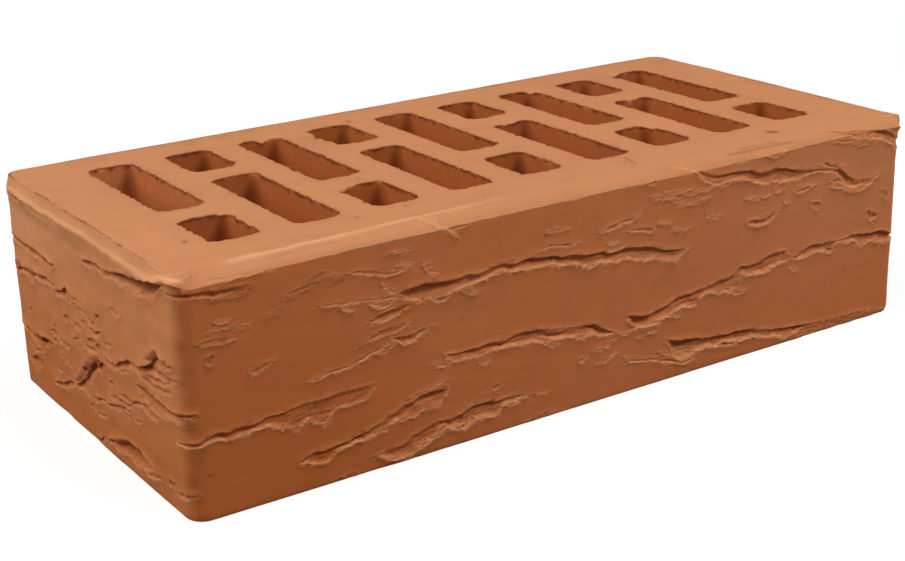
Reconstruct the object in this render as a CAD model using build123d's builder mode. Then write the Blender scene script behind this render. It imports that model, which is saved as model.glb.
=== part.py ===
"""A perforated facing brick of fired clay, in millimetres.

The clay column is extruded upwards, so its section is the same all the way up: a rounded rectangle
with two staggered rows of slots. It is wire-cut at both beds, and the top arris is then dressed on
the three sides that show in a wall: the face, on -Y, and the two heads, on -X and +X. The back, on
+Y, is plain. The origin is the middle of the lower bed, and +Z is up.
"""

from build123d import *
import os

# The brick's outside
length = 250.0
width = 120.0
height = 65.0
corner_radius = 5.0

# Walls between the slots and the outside
face_shell = 21.0
back_shell = 15.0
head_shell = 20.4

# Slots. Each column holds one short slot and one long one, and the next column has them swapped.
slot_width = 14.0
short_slot = 22.0
slot_corner = 3.0
rib = 10.4
web = 10.0

# Top arris, dressed to a slope: how far it runs in from the side, and how far it drops
face_arris_run = 6.5
face_arris_drop = 2.5
head_arris_run = 1.5
head_arris_drop = 4.0

# Lower arris and back arris, eased by handling
bed_arris = 0.8
back_arris = 0.6

# How far a cutter reaches past what it cuts
overrun = 2.0

# Turns about +Z, in degrees, that point a cutter's local +X out of a side of the brick
turn_to_right_head = 0
turn_to_face = -90
turn_to_left_head = 180

columns = round((length - 2 * head_shell + rib) / (slot_width + rib))
slots_span = length - 2 * head_shell
column_pitch = (slots_span - slot_width) / (columns - 1)
first_column = -slots_span / 2 + slot_width / 2

slots_front = -width / 2 + face_shell
slots_back = width / 2 - back_shell
long_slot = slots_back - slots_front - web - short_slot


def slot_centres(slot_length, at_back_when_odd):
    """Plan centres of every slot of one length. Columns count from 0 at the -X head."""
    centres = []
    for column in range(columns):
        at_back = (column % 2 == 1) == at_back_when_odd
        if at_back:
            y = slots_back - slot_length / 2
        else:
            y = slots_front + slot_length / 2
        centres.append((first_column + column * column_pitch, y))
    return centres


def arris_cutter(run, drop, reach):
    """A long three-sided bar that planes a slope off the top edge. The edge lies at its local origin."""
    slope = drop / run
    with BuildPart(mode=Mode.PRIVATE) as bar:
        with BuildSketch(Plane.XZ):
            with BuildLine():
                Polyline(
                    (-run - overrun / slope, overrun),
                    (overrun, -drop - overrun * slope),
                    (overrun, overrun),
                    close=True,
                )
            make_face()
        extrude(amount=reach, both=True)
    return bar.part


face_cutter = arris_cutter(face_arris_run, face_arris_drop, length / 2 + overrun)
head_cutter = arris_cutter(head_arris_run, head_arris_drop, width / 2 + overrun)

with BuildPart() as brick:
    # Extruded section, with the die's rounded corners
    with BuildSketch():
        RectangleRounded(length, width, corner_radius)
    extrude(amount=height)

    # Eased arrises: all round the lower bed, and the back of the upper one
    lower_bed = brick.faces().sort_by(Axis.Z)[0]
    chamfer(lower_bed.outer_wire().edges(), bed_arris)
    upper_bed = brick.faces().sort_by(Axis.Z)[-1]
    chamfer(upper_bed.edges().sort_by(Axis.Y)[-1], back_arris)

    # Dressed top arrises, on the face and on both heads
    with Locations(Location((0, -width / 2, height), (0, 0, turn_to_face))):
        add(face_cutter, mode=Mode.SUBTRACT)
    with Locations(
        Location((length / 2, 0, height), (0, 0, turn_to_right_head)),
        Location((-length / 2, 0, height), (0, 0, turn_to_left_head)),
    ):
        add(head_cutter, mode=Mode.SUBTRACT)

    # Slots, right through from bed to bed
    with BuildSketch():
        with Locations(slot_centres(short_slot, at_back_when_odd=True)):
            RectangleRounded(slot_width, short_slot, slot_corner)
        with Locations(slot_centres(long_slot, at_back_when_odd=False)):
            RectangleRounded(slot_width, long_slot, slot_corner)
    extrude(amount=height, mode=Mode.SUBTRACT)

brick.part.label = "brick"
os.makedirs("parts", exist_ok=True)
export_step(brick.part, "parts/brick.step")
print("columns", columns, "long slot", long_slot, "pitch", column_pitch)
print("volume", brick.part.volume, "size", brick.part.bounding_box().size)
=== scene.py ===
"""Looks of a perforated facing brick whose face and heads carry a torn, bark-like relief.

The brick is one closed mesh in the place of its solid. Its sides are a fine grid that is pushed in and
out by the tears in the dressed skin, its beds are flat and wire-cut, and its slots run right through.
Lengths are millimetres while the mesh is worked out, and metres once it is made.
"""

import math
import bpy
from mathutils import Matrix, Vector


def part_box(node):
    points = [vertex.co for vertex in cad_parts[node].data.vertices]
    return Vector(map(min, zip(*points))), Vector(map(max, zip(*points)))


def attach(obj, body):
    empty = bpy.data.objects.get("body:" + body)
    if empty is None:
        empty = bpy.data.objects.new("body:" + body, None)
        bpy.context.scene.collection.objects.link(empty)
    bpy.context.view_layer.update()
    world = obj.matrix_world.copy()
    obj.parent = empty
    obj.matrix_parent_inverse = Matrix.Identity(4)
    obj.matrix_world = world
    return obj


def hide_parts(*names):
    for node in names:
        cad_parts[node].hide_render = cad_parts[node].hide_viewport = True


bl_info = {
    "name": "Bark-faced clay brick",
    "version": (1, 0, 0),
    "blender": (4, 5, 0),
    "location": "3D View > Sidebar > Brick",
    "description": "A perforated clay brick with torn sides, rimmed slots and a plain studio",
    "category": "Add Mesh",
}

from collections import namedtuple

import bpy
import numpy as np
from mathutils import Matrix, Vector
from mathutils.geometry import delaunay_2d_cdt

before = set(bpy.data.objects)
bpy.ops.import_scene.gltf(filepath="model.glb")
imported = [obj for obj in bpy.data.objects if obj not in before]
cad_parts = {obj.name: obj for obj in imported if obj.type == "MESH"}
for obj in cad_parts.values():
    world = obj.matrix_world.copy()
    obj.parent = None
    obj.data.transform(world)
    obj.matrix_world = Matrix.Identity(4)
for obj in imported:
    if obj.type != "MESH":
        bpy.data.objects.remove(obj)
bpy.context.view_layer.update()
BRICK_LOW, BRICK_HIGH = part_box("brick")

MM = 0.001
LENGTH = (BRICK_HIGH.x - BRICK_LOW.x) / MM
WIDTH = (BRICK_HIGH.y - BRICK_LOW.y) / MM
HEIGHT = (BRICK_HIGH.z - BRICK_LOW.z) / MM
LEFT, FRONT = -LENGTH / 2, -WIDTH / 2
BODY = "root"

# The side strip reaches this far in over each bed, to a path with this corner radius
BED_INSET = 11.0
INNER_RADIUS = 3.0
# Grid step along the plain back
BACK_STEP = 1.5
# Rows of the strip over each bed and arris
LOWER_BED_ROWS = 4
LOWER_ARRIS_ROWS = 3
UPPER_ARRIS_ROWS = 18
UPPER_BED_ROWS = 14
# Tears of the face can run this far up over its arris
OVER_ARRIS = 2.4

# A slot's mesh runs over the rim in rows, each an offset from the slot's wall and a drop below the bed,
# and then down the wall
RIM_ROWS = ((2.6, 0.0), (1.7, 0.0), (1.0, 0.0), (0.55, 0.0), (0.25, 0.03), (0.07, 0.15), (0.0, 0.4))
WALL_DEPTHS = (0.7, 1.1, 1.7, 2.5, 3.6, 5.2, 7.5, 11.0, 16.0, 22.0, 28.0)
# Round a slot: steps in each corner, spacing along its sides, and length of a jag in its rim
RIM_ARC_STEPS = 6
RIM_STEP = 0.62
RIM_GRAIN = 1.4

# Marks that each point carries for the material: the first and fourth are painted shade, the last painted
# highlight
MARKS = ("hollow_shade", "torn", "inside_slot", "crack", "worn")
INSIDE_SLOT = MARKS.index("inside_slot")
SHADE_MARK = MARKS.index("crack")

# The tears of the left head are cut this much deeper and wider than they are listed
HEAD_DEEPER = 1.6
HEAD_WIDER = 1.4
HEAD_MORE = 0.2

# How many random values a line or a surface of noise repeats after
LINE_CELLS = 4096
SURFACE_CELLS = 512

# Points of the bed between the slots: their spacing, and how many more lie in a pit and on a scratch
BED_STEP = 1.9
PIT_POINTS = 160
SCRATCH_POINTS = 260

# Edges sharper than this, in degrees, stay crisp
SHARP = 58

# Tears in the dressed skin. A route is read along its side from the left end, in millimetres: the
# distance along, the distance below the upper bed, and the width of the torn floor there. A tear
# also has the depth of its ledge and the height of its torn rim.
Tear = namedtuple("Tear", "depth rim route")

FACE_TEARS = (
    # Under the lip at the left corner
    Tear(1.3, 0.05, ((-5, 4.6, 0.7), (-3, 4.2, 1.0), (0, 3.9, 1.2), (3, 4.0, 1.2), (6, 4.1, 1.5),
         (10, 4.2, 2.4), (15, 4.4, 3.0), (21, 4.8, 1.6))),
    # Peeled skin along the arris
    Tear(0.5, 0.3, ((7, 2.4, 0.6), (9, 1.8, 0.8), (15, 2.2, 0.8), (20, 2.1, 0.8), (25, 2.6, 0.5))),
    # Hairline that climbs to a ridge, and the ridge after it
    Tear(0.35, 0.12, ((23, 14.5, 0.6), (26, 13.4, 0.7), (29, 11.0, 0.8), (31, 9.5, 1.0), (35, 8.5, 1.2),
         (38, 6.8, 1.3), (40, 6.0, 1.5), (42, 6.8, 1.4), (44, 8.2, 1.2), (46.5, 8.5, 0.8))),
    Tear(0.6, 0.4, ((47, 8.2, 0.8), (52, 8.2, 1.3), (55, 9.3, 1.1), (58, 10.5, 0.9), (61, 10.6, 0.9),
         (66, 10.2, 0.6))),
    Tear(0.3, 0.3, ((9, 12.6, 0.6), (14, 12.7, 0.6))),
    Tear(0.3, 0.3, ((9, 14.6, 0.6), (14, 14.3, 0.7), (19, 15.0, 0.6))),
    Tear(0.4, 0.3, ((4, 17.0, 1.2), (8, 16.4, 1.8), (12, 16.7, 1.7), (15.5, 18.0, 0.8))),
    Tear(0.6, 0.3, ((6, 21.6, 1.2), (8, 20.4, 2.6), (9.6, 20.4, 1.2))),
    Tear(0.45, 0.4, ((17.5, 28.0, 0.7), (20, 26.6, 1.8), (22, 26.3, 1.6), (25.5, 25.9, 0.8))),
    Tear(0.6, 0.5, ((33.5, 34.6, 0.6), (40, 33.4, 0.8), (46, 33.1, 0.9), (50, 31.9, 0.9), (55, 30.6, 1.0),
         (59, 30.0, 0.7))),
    # Long tear round the left corner, with a broad torn floor
    Tear(1.9, 0.5, ((-4.5, 44.3, 0.8), (-2.5, 43.5, 1.0), (1, 43.0, 1.1), (3, 43.0, 1.2), (5, 42.3, 1.3),
         (8, 41.6, 1.8), (12, 41.8, 2.3), (15, 41.4, 2.8), (18, 41.8, 2.0), (22, 41.2, 2.6),
         (27, 40.9, 4.6), (33, 40.2, 5.8), (37, 40.2, 6.0), (41, 40.1, 4.6), (46, 39.8, 4.3),
         (50, 39.8, 4.3), (54, 40.0, 3.0))),
    # Climbing gouge in the lower left, and its upper strand
    Tear(1.8, 0.5, ((29.5, 56.4, 0.8), (32, 55.0, 1.9), (34.5, 54.2, 3.2), (38, 54.3, 3.6), (42, 54.3, 1.4),
         (46, 53.6, 1.3), (50, 52.8, 2.0), (54, 51.8, 2.4), (57, 50.2, 3.2), (60, 49.6, 3.2),
         (63, 48.2, 4.0), (66, 47.5, 4.6), (70, 46.7, 4.6), (75, 46.9, 3.4), (77, 47.3, 1.6))),
    Tear(0.7, 0.3, ((63, 46.8, 0.7), (68, 46.0, 0.8), (72, 45.0, 0.9), (76.5, 44.8, 0.7))),
    # Low gouge with a curled rim
    Tear(1.3, 0.5, ((53, 60.2, 0.8), (57, 60.4, 1.8), (61, 59.6, 3.2), (64, 58.4, 4.3), (67, 57.3, 4.6),
         (70, 56.8, 4.0), (73, 56.0, 2.4), (75, 56.0, 1.6), (77, 56.4, 2.8), (79, 56.0, 3.6),
         (82, 54.9, 4.6), (86, 54.6, 4.4), (90, 55.0, 4.6), (92.5, 55.2, 4.4), (94, 55.2, 2.2),
         (98, 55.4, 1.6), (102.5, 56.0, 0.8))),
    Tear(1.1, 0.2, ((90, 51.0, 0.7), (91.6, 50.0, 1.9), (94, 50.5, 0.8))),
    Tear(0.3, 0.25, ((105, 56.3, 0.5), (110, 57.5, 0.5))),
    # Folds left of the main tear
    Tear(0.9, 0.5, ((52.5, 23.0, 0.8), (55, 21.6, 2.2), (58, 21.0, 2.4), (62, 20.6, 2.0), (66, 20.3, 1.6))),
    Tear(0.6, 0.4, ((49.5, 28.6, 0.6), (54, 26.6, 1.5), (58, 25.6, 1.8), (62, 25.3, 1.5), (66, 24.8, 0.9))),
    Tear(0.9, 0.6, ((58.5, 29.0, 0.8), (61, 28.9, 1.8), (64, 29.4, 2.4), (66, 29.4, 2.2), (69, 28.2, 1.8),
         (72, 27.8, 0.7))),
    Tear(0.5, 0.4, ((54, 32.0, 0.6), (57, 31.0, 1.1), (61, 30.0, 0.7))),
    # Main tear
    Tear(0.5, 0.4, ((38, 15.1, 0.6), (45, 15.3, 1.0), (50, 16.0, 0.9), (55, 16.5, 1.1), (62.5, 17.6, 0.8))),
    Tear(1.8, 0.5, ((61.5, 16.8, 1.4), (64, 16.3, 3.2), (68, 16.0, 4.4), (72, 16.0, 4.8), (76, 16.8, 4.4),
         (80, 16.6, 3.4), (84, 16.4, 3.2), (88, 16.7, 2.3), (92, 16.0, 2.3), (96, 15.9, 2.5),
         (100, 16.4, 2.5), (104, 16.2, 3.0), (108, 16.7, 2.8), (112, 17.3, 2.6), (116, 18.0, 2.8),
         (120, 18.5, 3.2), (123, 18.8, 4.2), (127, 19.4, 3.4), (131, 20.0, 3.2), (136, 20.3, 3.5),
         (141, 20.6, 4.0), (145, 21.0, 4.3), (148, 22.0, 3.6), (151, 23.4, 3.1), (155, 24.3, 3.4),
         (158, 24.6, 2.7), (161.5, 25.0, 1.6))),
    Tear(0.9, 0.3, ((105, 15.4, 0.6), (108, 14.2, 0.9), (112, 13.9, 1.1), (117, 14.6, 1.0),
         (122, 15.3, 0.5))),
    Tear(0.8, 0.5, ((71, 20.6, 0.8), (73.5, 20.6, 1.5), (76, 21.0, 1.4), (79, 19.6, 0.7))),
    Tear(0.4, 0.4, ((81, 20.4, 0.6), (83.5, 21.2, 0.9), (87, 22.0, 0.6))),
    Tear(0.4, 0.3, ((109, 10.0, 0.5), (113, 10.0, 0.7), (118, 10.4, 0.5))),
    Tear(0.7, 0.4, ((128, 14.4, 0.6), (132, 12.4, 1.8), (135, 12.0, 1.3), (139, 11.8, 1.2),
         (143.5, 10.6, 0.7))),
    Tear(0.8, 0.4, ((138, 15.6, 0.6), (144, 15.4, 1.3), (146.5, 16.0, 1.8), (148.5, 17.0, 0.8))),
    Tear(0.3, 0.3, ((149, 15.2, 0.5), (155, 16.1, 0.6))),
    Tear(0.3, 0.3, ((154.5, 18.2, 0.5), (158, 18.9, 0.7), (161.5, 18.9, 0.5))),
    Tear(0.5, 0.3, ((167, 15.4, 0.5), (170, 17.0, 0.9), (172.5, 18.0, 0.5))),
    Tear(0.45, 0.35, ((145.5, 6.6, 0.6), (150, 7.5, 0.9), (154, 8.5, 1.0), (157, 9.9, 1.0),
         (160, 11.0, 0.9), (168.5, 11.5, 0.6))),
    Tear(0.4, 0.3, ((151, 6.8, 0.5), (156, 7.0, 0.8), (162, 7.4, 0.6))),
    # Middle tear, in two lengths
    Tear(2.0, 0.5, ((75, 37.0, 1.0), (78, 37.4, 2.4), (81, 37.8, 2.2), (86, 37.7, 2.4), (91, 37.6, 2.3),
         (95, 37.8, 2.3), (98, 37.0, 3.2), (101, 36.9, 3.4), (105, 37.4, 3.8), (110, 38.2, 4.2),
         (115, 39.2, 3.6), (120, 39.8, 3.7), (124, 40.3, 3.6), (127, 41.0, 3.0), (129, 42.4, 2.0),
         (131, 43.7, 1.3), (135, 45.2, 0.7))),
    Tear(0.5, 0.4, ((71.5, 39.0, 0.6), (74, 39.8, 0.8), (78, 40.1, 0.5))),
    Tear(0.6, 0.4, ((106, 39.8, 0.6), (111, 40.2, 0.9), (116, 41.2, 0.9), (121, 42.3, 0.5))),
    Tear(1.9, 0.5, ((138, 40.8, 1.6), (141, 41.2, 4.2), (144, 42.0, 3.8), (147, 42.2, 3.2),
         (150, 41.3, 4.0), (153, 41.0, 4.0), (156, 39.8, 4.2), (160, 39.3, 4.6), (164, 39.2, 4.2),
         (167, 38.9, 2.4), (170, 38.4, 2.2), (173, 38.0, 4.0), (177, 37.7, 4.8), (180, 36.6, 4.8),
         (182, 35.5, 2.6), (186, 35.6, 3.2), (190, 35.0, 4.3), (194, 34.0, 5.0), (198, 33.8, 5.2),
         (201, 34.2, 5.0), (202.2, 35.6, 2.6))),
    Tear(0.5, 0.4, ((139, 46.0, 0.5), (143, 45.2, 0.8), (149, 45.3, 0.8), (152.5, 45.2, 0.5))),
    Tear(0.6, 0.4, ((151.5, 43.6, 0.5), (155, 44.4, 0.8), (158.5, 46.0, 0.6))),
    Tear(1.6, 0.4, ((202.5, 37.4, 1.0), (206, 36.4, 2.0), (208, 35.4, 2.4), (210, 34.6, 3.4),
         (213, 34.9, 2.4), (217, 35.2, 2.8), (220, 35.3, 4.0), (221.5, 35.3, 1.6), (226, 35.0, 2.0),
         (231, 35.1, 2.4), (233, 35.5, 4.2), (235.5, 35.8, 3.4), (238, 35.8, 2.6), (241, 36.0, 3.6),
         (244, 36.6, 3.6), (247, 38.0, 2.2), (250, 38.8, 1.6), (253, 39.0, 0.8))),
    # Crumbled spots and short scratches below the middle
    Tear(0.5, 0.4, ((120, 50.6, 0.8), (121.5, 50.2, 1.2), (124, 49.8, 0.5))),
    Tear(0.4, 0.4, ((125, 48.5, 0.5), (128, 48.6, 0.6), (133, 48.3, 0.5))),
    Tear(0.4, 0.3, ((130.5, 47.0, 0.5), (134, 47.4, 0.5))),
    Tear(0.4, 0.4, ((126.5, 53.3, 0.5), (130, 52.9, 0.7), (133, 51.3, 0.7), (136, 51.8, 0.5))),
    Tear(0.4, 0.3, ((141.5, 48.9, 0.5), (145, 48.7, 0.6))),
    # Long low tear that runs out at the lower bed, and the rough patch at its left end
    Tear(0.8, 0.5, ((137, 53.2, 0.6), (139, 54.4, 1.0), (142, 55.4, 0.9), (147, 56.4, 0.9),
         (152, 57.8, 1.2), (156, 59.0, 1.3), (160, 60.2, 1.2), (165.5, 60.9, 0.6))),
    Tear(1.9, 0.5, ((153.8, 51.8, 1.6), (155.5, 52.4, 5.6), (158, 53.3, 6.4), (162, 53.8, 6.4),
         (165, 54.4, 5.0), (169, 55.2, 3.2), (172, 55.3, 4.2), (176, 55.7, 2.8), (180, 55.9, 3.6),
         (184, 56.4, 3.6), (188, 57.0, 2.4), (192, 57.8, 2.6), (196, 58.8, 2.8), (200, 59.6, 3.0),
         (206, 60.0, 2.4), (212, 60.5, 0.9))),
    Tear(0.9, 0.3, ((203, 59.7, 1.2), (208, 60.2, 4.2), (216, 61.0, 5.4), (222, 61.4, 5.0),
         (230, 61.4, 4.6), (235, 61.9, 4.4), (240, 62.6, 4.0), (248, 63.2, 2.4), (252, 63.6, 1.2))),
    Tear(0.6, 0.5, ((169, 57.4, 0.6), (173, 57.6, 1.0), (177, 58.6, 1.2), (181, 59.4, 1.0),
         (185, 59.6, 0.6))),
    Tear(0.6, 0.4, ((157, 56.0, 0.7), (161, 57.4, 1.4), (165, 58.4, 1.2), (169, 58.2, 0.6))),
    Tear(0.5, 0.4, ((150, 55.2, 0.6), (154, 56.0, 1.2), (159, 58.4, 1.0), (163, 59.0, 0.6))),
    # Tear that starts on the arris and crosses the upper right
    Tear(1.45, 0.35, ((157.5, -0.6, 0.6), (161, -0.3, 1.0), (163.5, 0.6, 1.6), (166, 2.4, 2.6),
         (169, 3.6, 3.4), (172, 4.8, 3.4), (176, 5.1, 2.9), (181, 5.4, 3.0), (185, 6.0, 3.0),
         (188, 7.2, 3.6), (192, 7.4, 4.6), (196, 7.2, 4.8), (200, 8.0, 4.2), (204, 9.0, 3.6),
         (207, 9.6, 2.2), (211, 10.4, 1.2), (215, 10.9, 1.3), (219, 11.3, 2.0), (222, 11.8, 2.6),
         (224, 13.4, 2.8), (226, 14.9, 3.2), (229, 16.3, 3.0), (233, 17.1, 2.6), (236, 17.0, 2.2),
         (239.5, 16.4, 0.8))),
    Tear(0.8, 0.3, ((213, 9.2, 0.5), (216, 9.0, 1.4), (220, 10.6, 1.0), (224, 11.6, 0.6))),
    Tear(0.6, 0.4, ((217, 15.2, 0.6), (220, 15.1, 1.4), (224, 15.9, 1.6), (228, 17.8, 1.2),
         (233, 19.0, 0.6))),
    Tear(0.4, 0.3, ((159, 9.2, 0.5), (164, 8.4, 0.8), (170, 8.6, 0.5))),
    # Right corner, under a torn lip
    Tear(1.6, 0.4, ((221.5, -0.6, 0.6), (224, 0.0, 1.2), (227, 0.8, 2.4), (231, 1.0, 3.0), (235, 1.6, 3.0),
         (239, 2.4, 3.4), (243, 3.8, 3.6), (247, 5.4, 3.6), (251, 6.8, 2.2), (254, 7.6, 0.9))),
    Tear(0.5, 0.3, ((217, 2.4, 0.6), (221, 2.6, 1.0), (226, 3.4, 1.2), (230, 5.0, 1.2), (236, 5.4, 0.8))),
    # Flaps of skin on the arris
    Tear(0.5, 0.4, ((144.5, 2.6, 0.6), (147, 2.5, 1.1), (150, 1.9, 0.6))),
    Tear(0.5, 0.4, ((188.5, 1.4, 0.6), (192, 2.2, 1.0), (196, 2.6, 1.0), (200.5, 2.0, 0.6))),
    Tear(0.6, 0.5, ((76, 1.6, 0.6), (79, 1.9, 1.4), (84.5, 2.6, 0.6))),
    # Upper right ridges and nicks
    Tear(0.9, 0.4, ((183, 22.0, 0.7), (185, 21.4, 1.9), (189, 21.8, 2.4), (192, 21.8, 2.2),
         (195, 20.6, 2.0), (198, 19.6, 0.7))),
    Tear(0.5, 0.4, ((198.5, 18.4, 0.6), (201.5, 18.8, 0.6))),
    Tear(0.7, 0.4, ((202.5, 16.0, 0.6), (205, 15.2, 1.5), (208, 15.0, 1.4), (211.5, 15.4, 0.6))),
    Tear(1.0, 0.35, ((209.6, 20.3, 0.8), (211.6, 20.6, 2.6), (213.4, 20.9, 2.6), (215, 21.6, 0.8))),
    Tear(1.2, 0.3, ((234.6, 28.4, 1.2), (236.2, 28.0, 3.2), (238, 29.0, 2.4), (240.4, 30.4, 0.7))),
    Tear(0.7, 0.3, ((240.6, 22.2, 0.8), (242.2, 22.3, 2.6), (244, 23.4, 2.2), (245.4, 25.0, 0.7))),
    Tear(0.3, 0.3, ((182, 14.2, 0.5), (189, 15.0, 0.6), (193.5, 15.0, 0.5))),
    Tear(0.3, 0.3, ((194.5, 14.7, 0.5), (199.5, 14.4, 0.5))),
    # Chips on the lower arris
    Tear(0.6, 0.2, ((42.5, 63.8, 0.6), (45, 63.5, 1.6), (48, 64.2, 0.6))),
    Tear(0.6, 0.2, ((102, 64.0, 0.5), (106, 63.4, 1.3), (111, 63.8, 1.0), (116, 64.4, 0.4))),
    # Wisps and spurs beside the larger tears
    Tear(0.3, 0.4, ((-1, -0.6, 0.5), (2, -0.5, 0.7), (5, -0.5, 0.4))),
    Tear(0.35, 0.4, ((60, 5.2, 0.5), (63, 5.5, 0.7), (66, 5.8, 0.5))),
    Tear(0.35, 0.4, ((61, 9.2, 0.5), (64, 9.4, 0.7), (67, 9.5, 0.5))),
    Tear(0.35, 0.5, ((69, 9.8, 0.5), (71.5, 12.3, 0.7), (75, 14.4, 0.5))),
    Tear(0.35, 0.5, ((56.5, 12.6, 0.5), (59, 14.8, 0.7), (61.8, 17.4, 0.5))),
    Tear(0.4, 0.5, ((44.5, 16.8, 0.5), (46.5, 17.6, 0.8), (48.8, 18.5, 0.5))),
    Tear(0.4, 0.5, ((52.5, 17.8, 0.5), (57, 19.0, 0.9), (61.5, 18.3, 0.5))),
    Tear(0.4, 0.4, ((130, 17.5, 0.5), (132.5, 17.6, 0.7), (135, 17.9, 0.5))),
    Tear(0.4, 0.5, ((130, 19.2, 0.5), (133, 19.4, 0.8), (137, 19.7, 0.5))),
    Tear(0.7, 0.3, ((65, 49.2, 0.6), (70, 48.2, 1.1), (76.5, 48.0, 0.6))),
    Tear(0.1, 0.7, ((53, 60.5, 0.4), (56, 62.0, 0.6), (60, 63.0, 0.7), (64, 62.5, 0.7), (68, 61.5, 0.6),
         (72, 60.0, 0.6), (75, 59.0, 0.5), (78.5, 59.6, 0.6), (82, 59.5, 0.6), (86, 58.8, 0.6),
         (92, 59.8, 0.4))),
    Tear(0.5, 0.5, ((93, 56.8, 0.5), (97, 57.3, 0.9), (100, 56.5, 0.8), (103, 57.0, 0.5))),
    Tear(0.4, 0.4, ((86, 42.2, 0.5), (88, 42.6, 0.8), (90.5, 42.6, 0.5))),
    Tear(0.4, 0.4, ((109, 43.0, 0.5), (111.5, 43.1, 0.8), (114, 43.4, 0.5))),
    Tear(0.9, 0.2, ((122.5, 40.2, 0.6), (125, 40.8, 1.2), (128, 42.0, 1.0), (131, 43.8, 0.5))),
    Tear(0.4, 0.4, ((135, 45.6, 0.5), (137.5, 46.0, 0.8), (140, 46.3, 0.5))),
    Tear(0.4, 0.4, ((145, 47.9, 0.5), (147.5, 48.1, 0.8), (150, 48.3, 0.5))),
    Tear(0.2, 0.7, ((218, 17.3, 0.5), (224, 18.0, 0.9), (227, 19.2, 1.0), (233, 20.0, 1.0),
         (240, 17.3, 0.5))),
    Tear(0.6, 0.6, ((175, 41.2, 0.6), (179, 42.3, 1.4), (184.5, 43.4, 0.6))),
    Tear(0.4, 0.4, ((202, 40.3, 0.5), (204, 40.8, 0.8), (206, 41.2, 0.5))),
    Tear(0.2, 0.7, ((71, -1.2, 0.3), (75, 0.9, 0.5), (78, 2.6, 0.5), (81, 5.9, 0.3))),
    Tear(0.2, 0.6, ((69, -1.9, 0.3), (72, -1.6, 0.4), (76, -0.2, 0.3))),
)

# Smooth hollows in the floors of the face's tears
FACE_SCOOPS = (
    Tear(1.1, 0.1, ((60, 17.6, 0.8), (64, 16.6, 2.8), (69, 16.2, 3.8), (74, 16.3, 3.4), (79, 16.8, 2.0),
         (84, 16.9, 0.8))),
    Tear(0.6, 0.1, ((137, 41.4, 1.0), (140, 41.4, 3.6), (144, 42.2, 3.8), (148, 42.2, 2.4),
         (152, 41.6, 0.8))),
    Tear(0.9, 0.1, ((152, 51.8, 0.8), (156, 52.6, 3.6), (161, 53.6, 3.4), (166, 54.4, 1.0))),
    Tear(0.9, 0.1, ((-4.5, 44.2, 0.6), (-1, 43.2, 1.2), (3, 43.0, 1.6), (8, 41.8, 1.2))),
)

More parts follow.
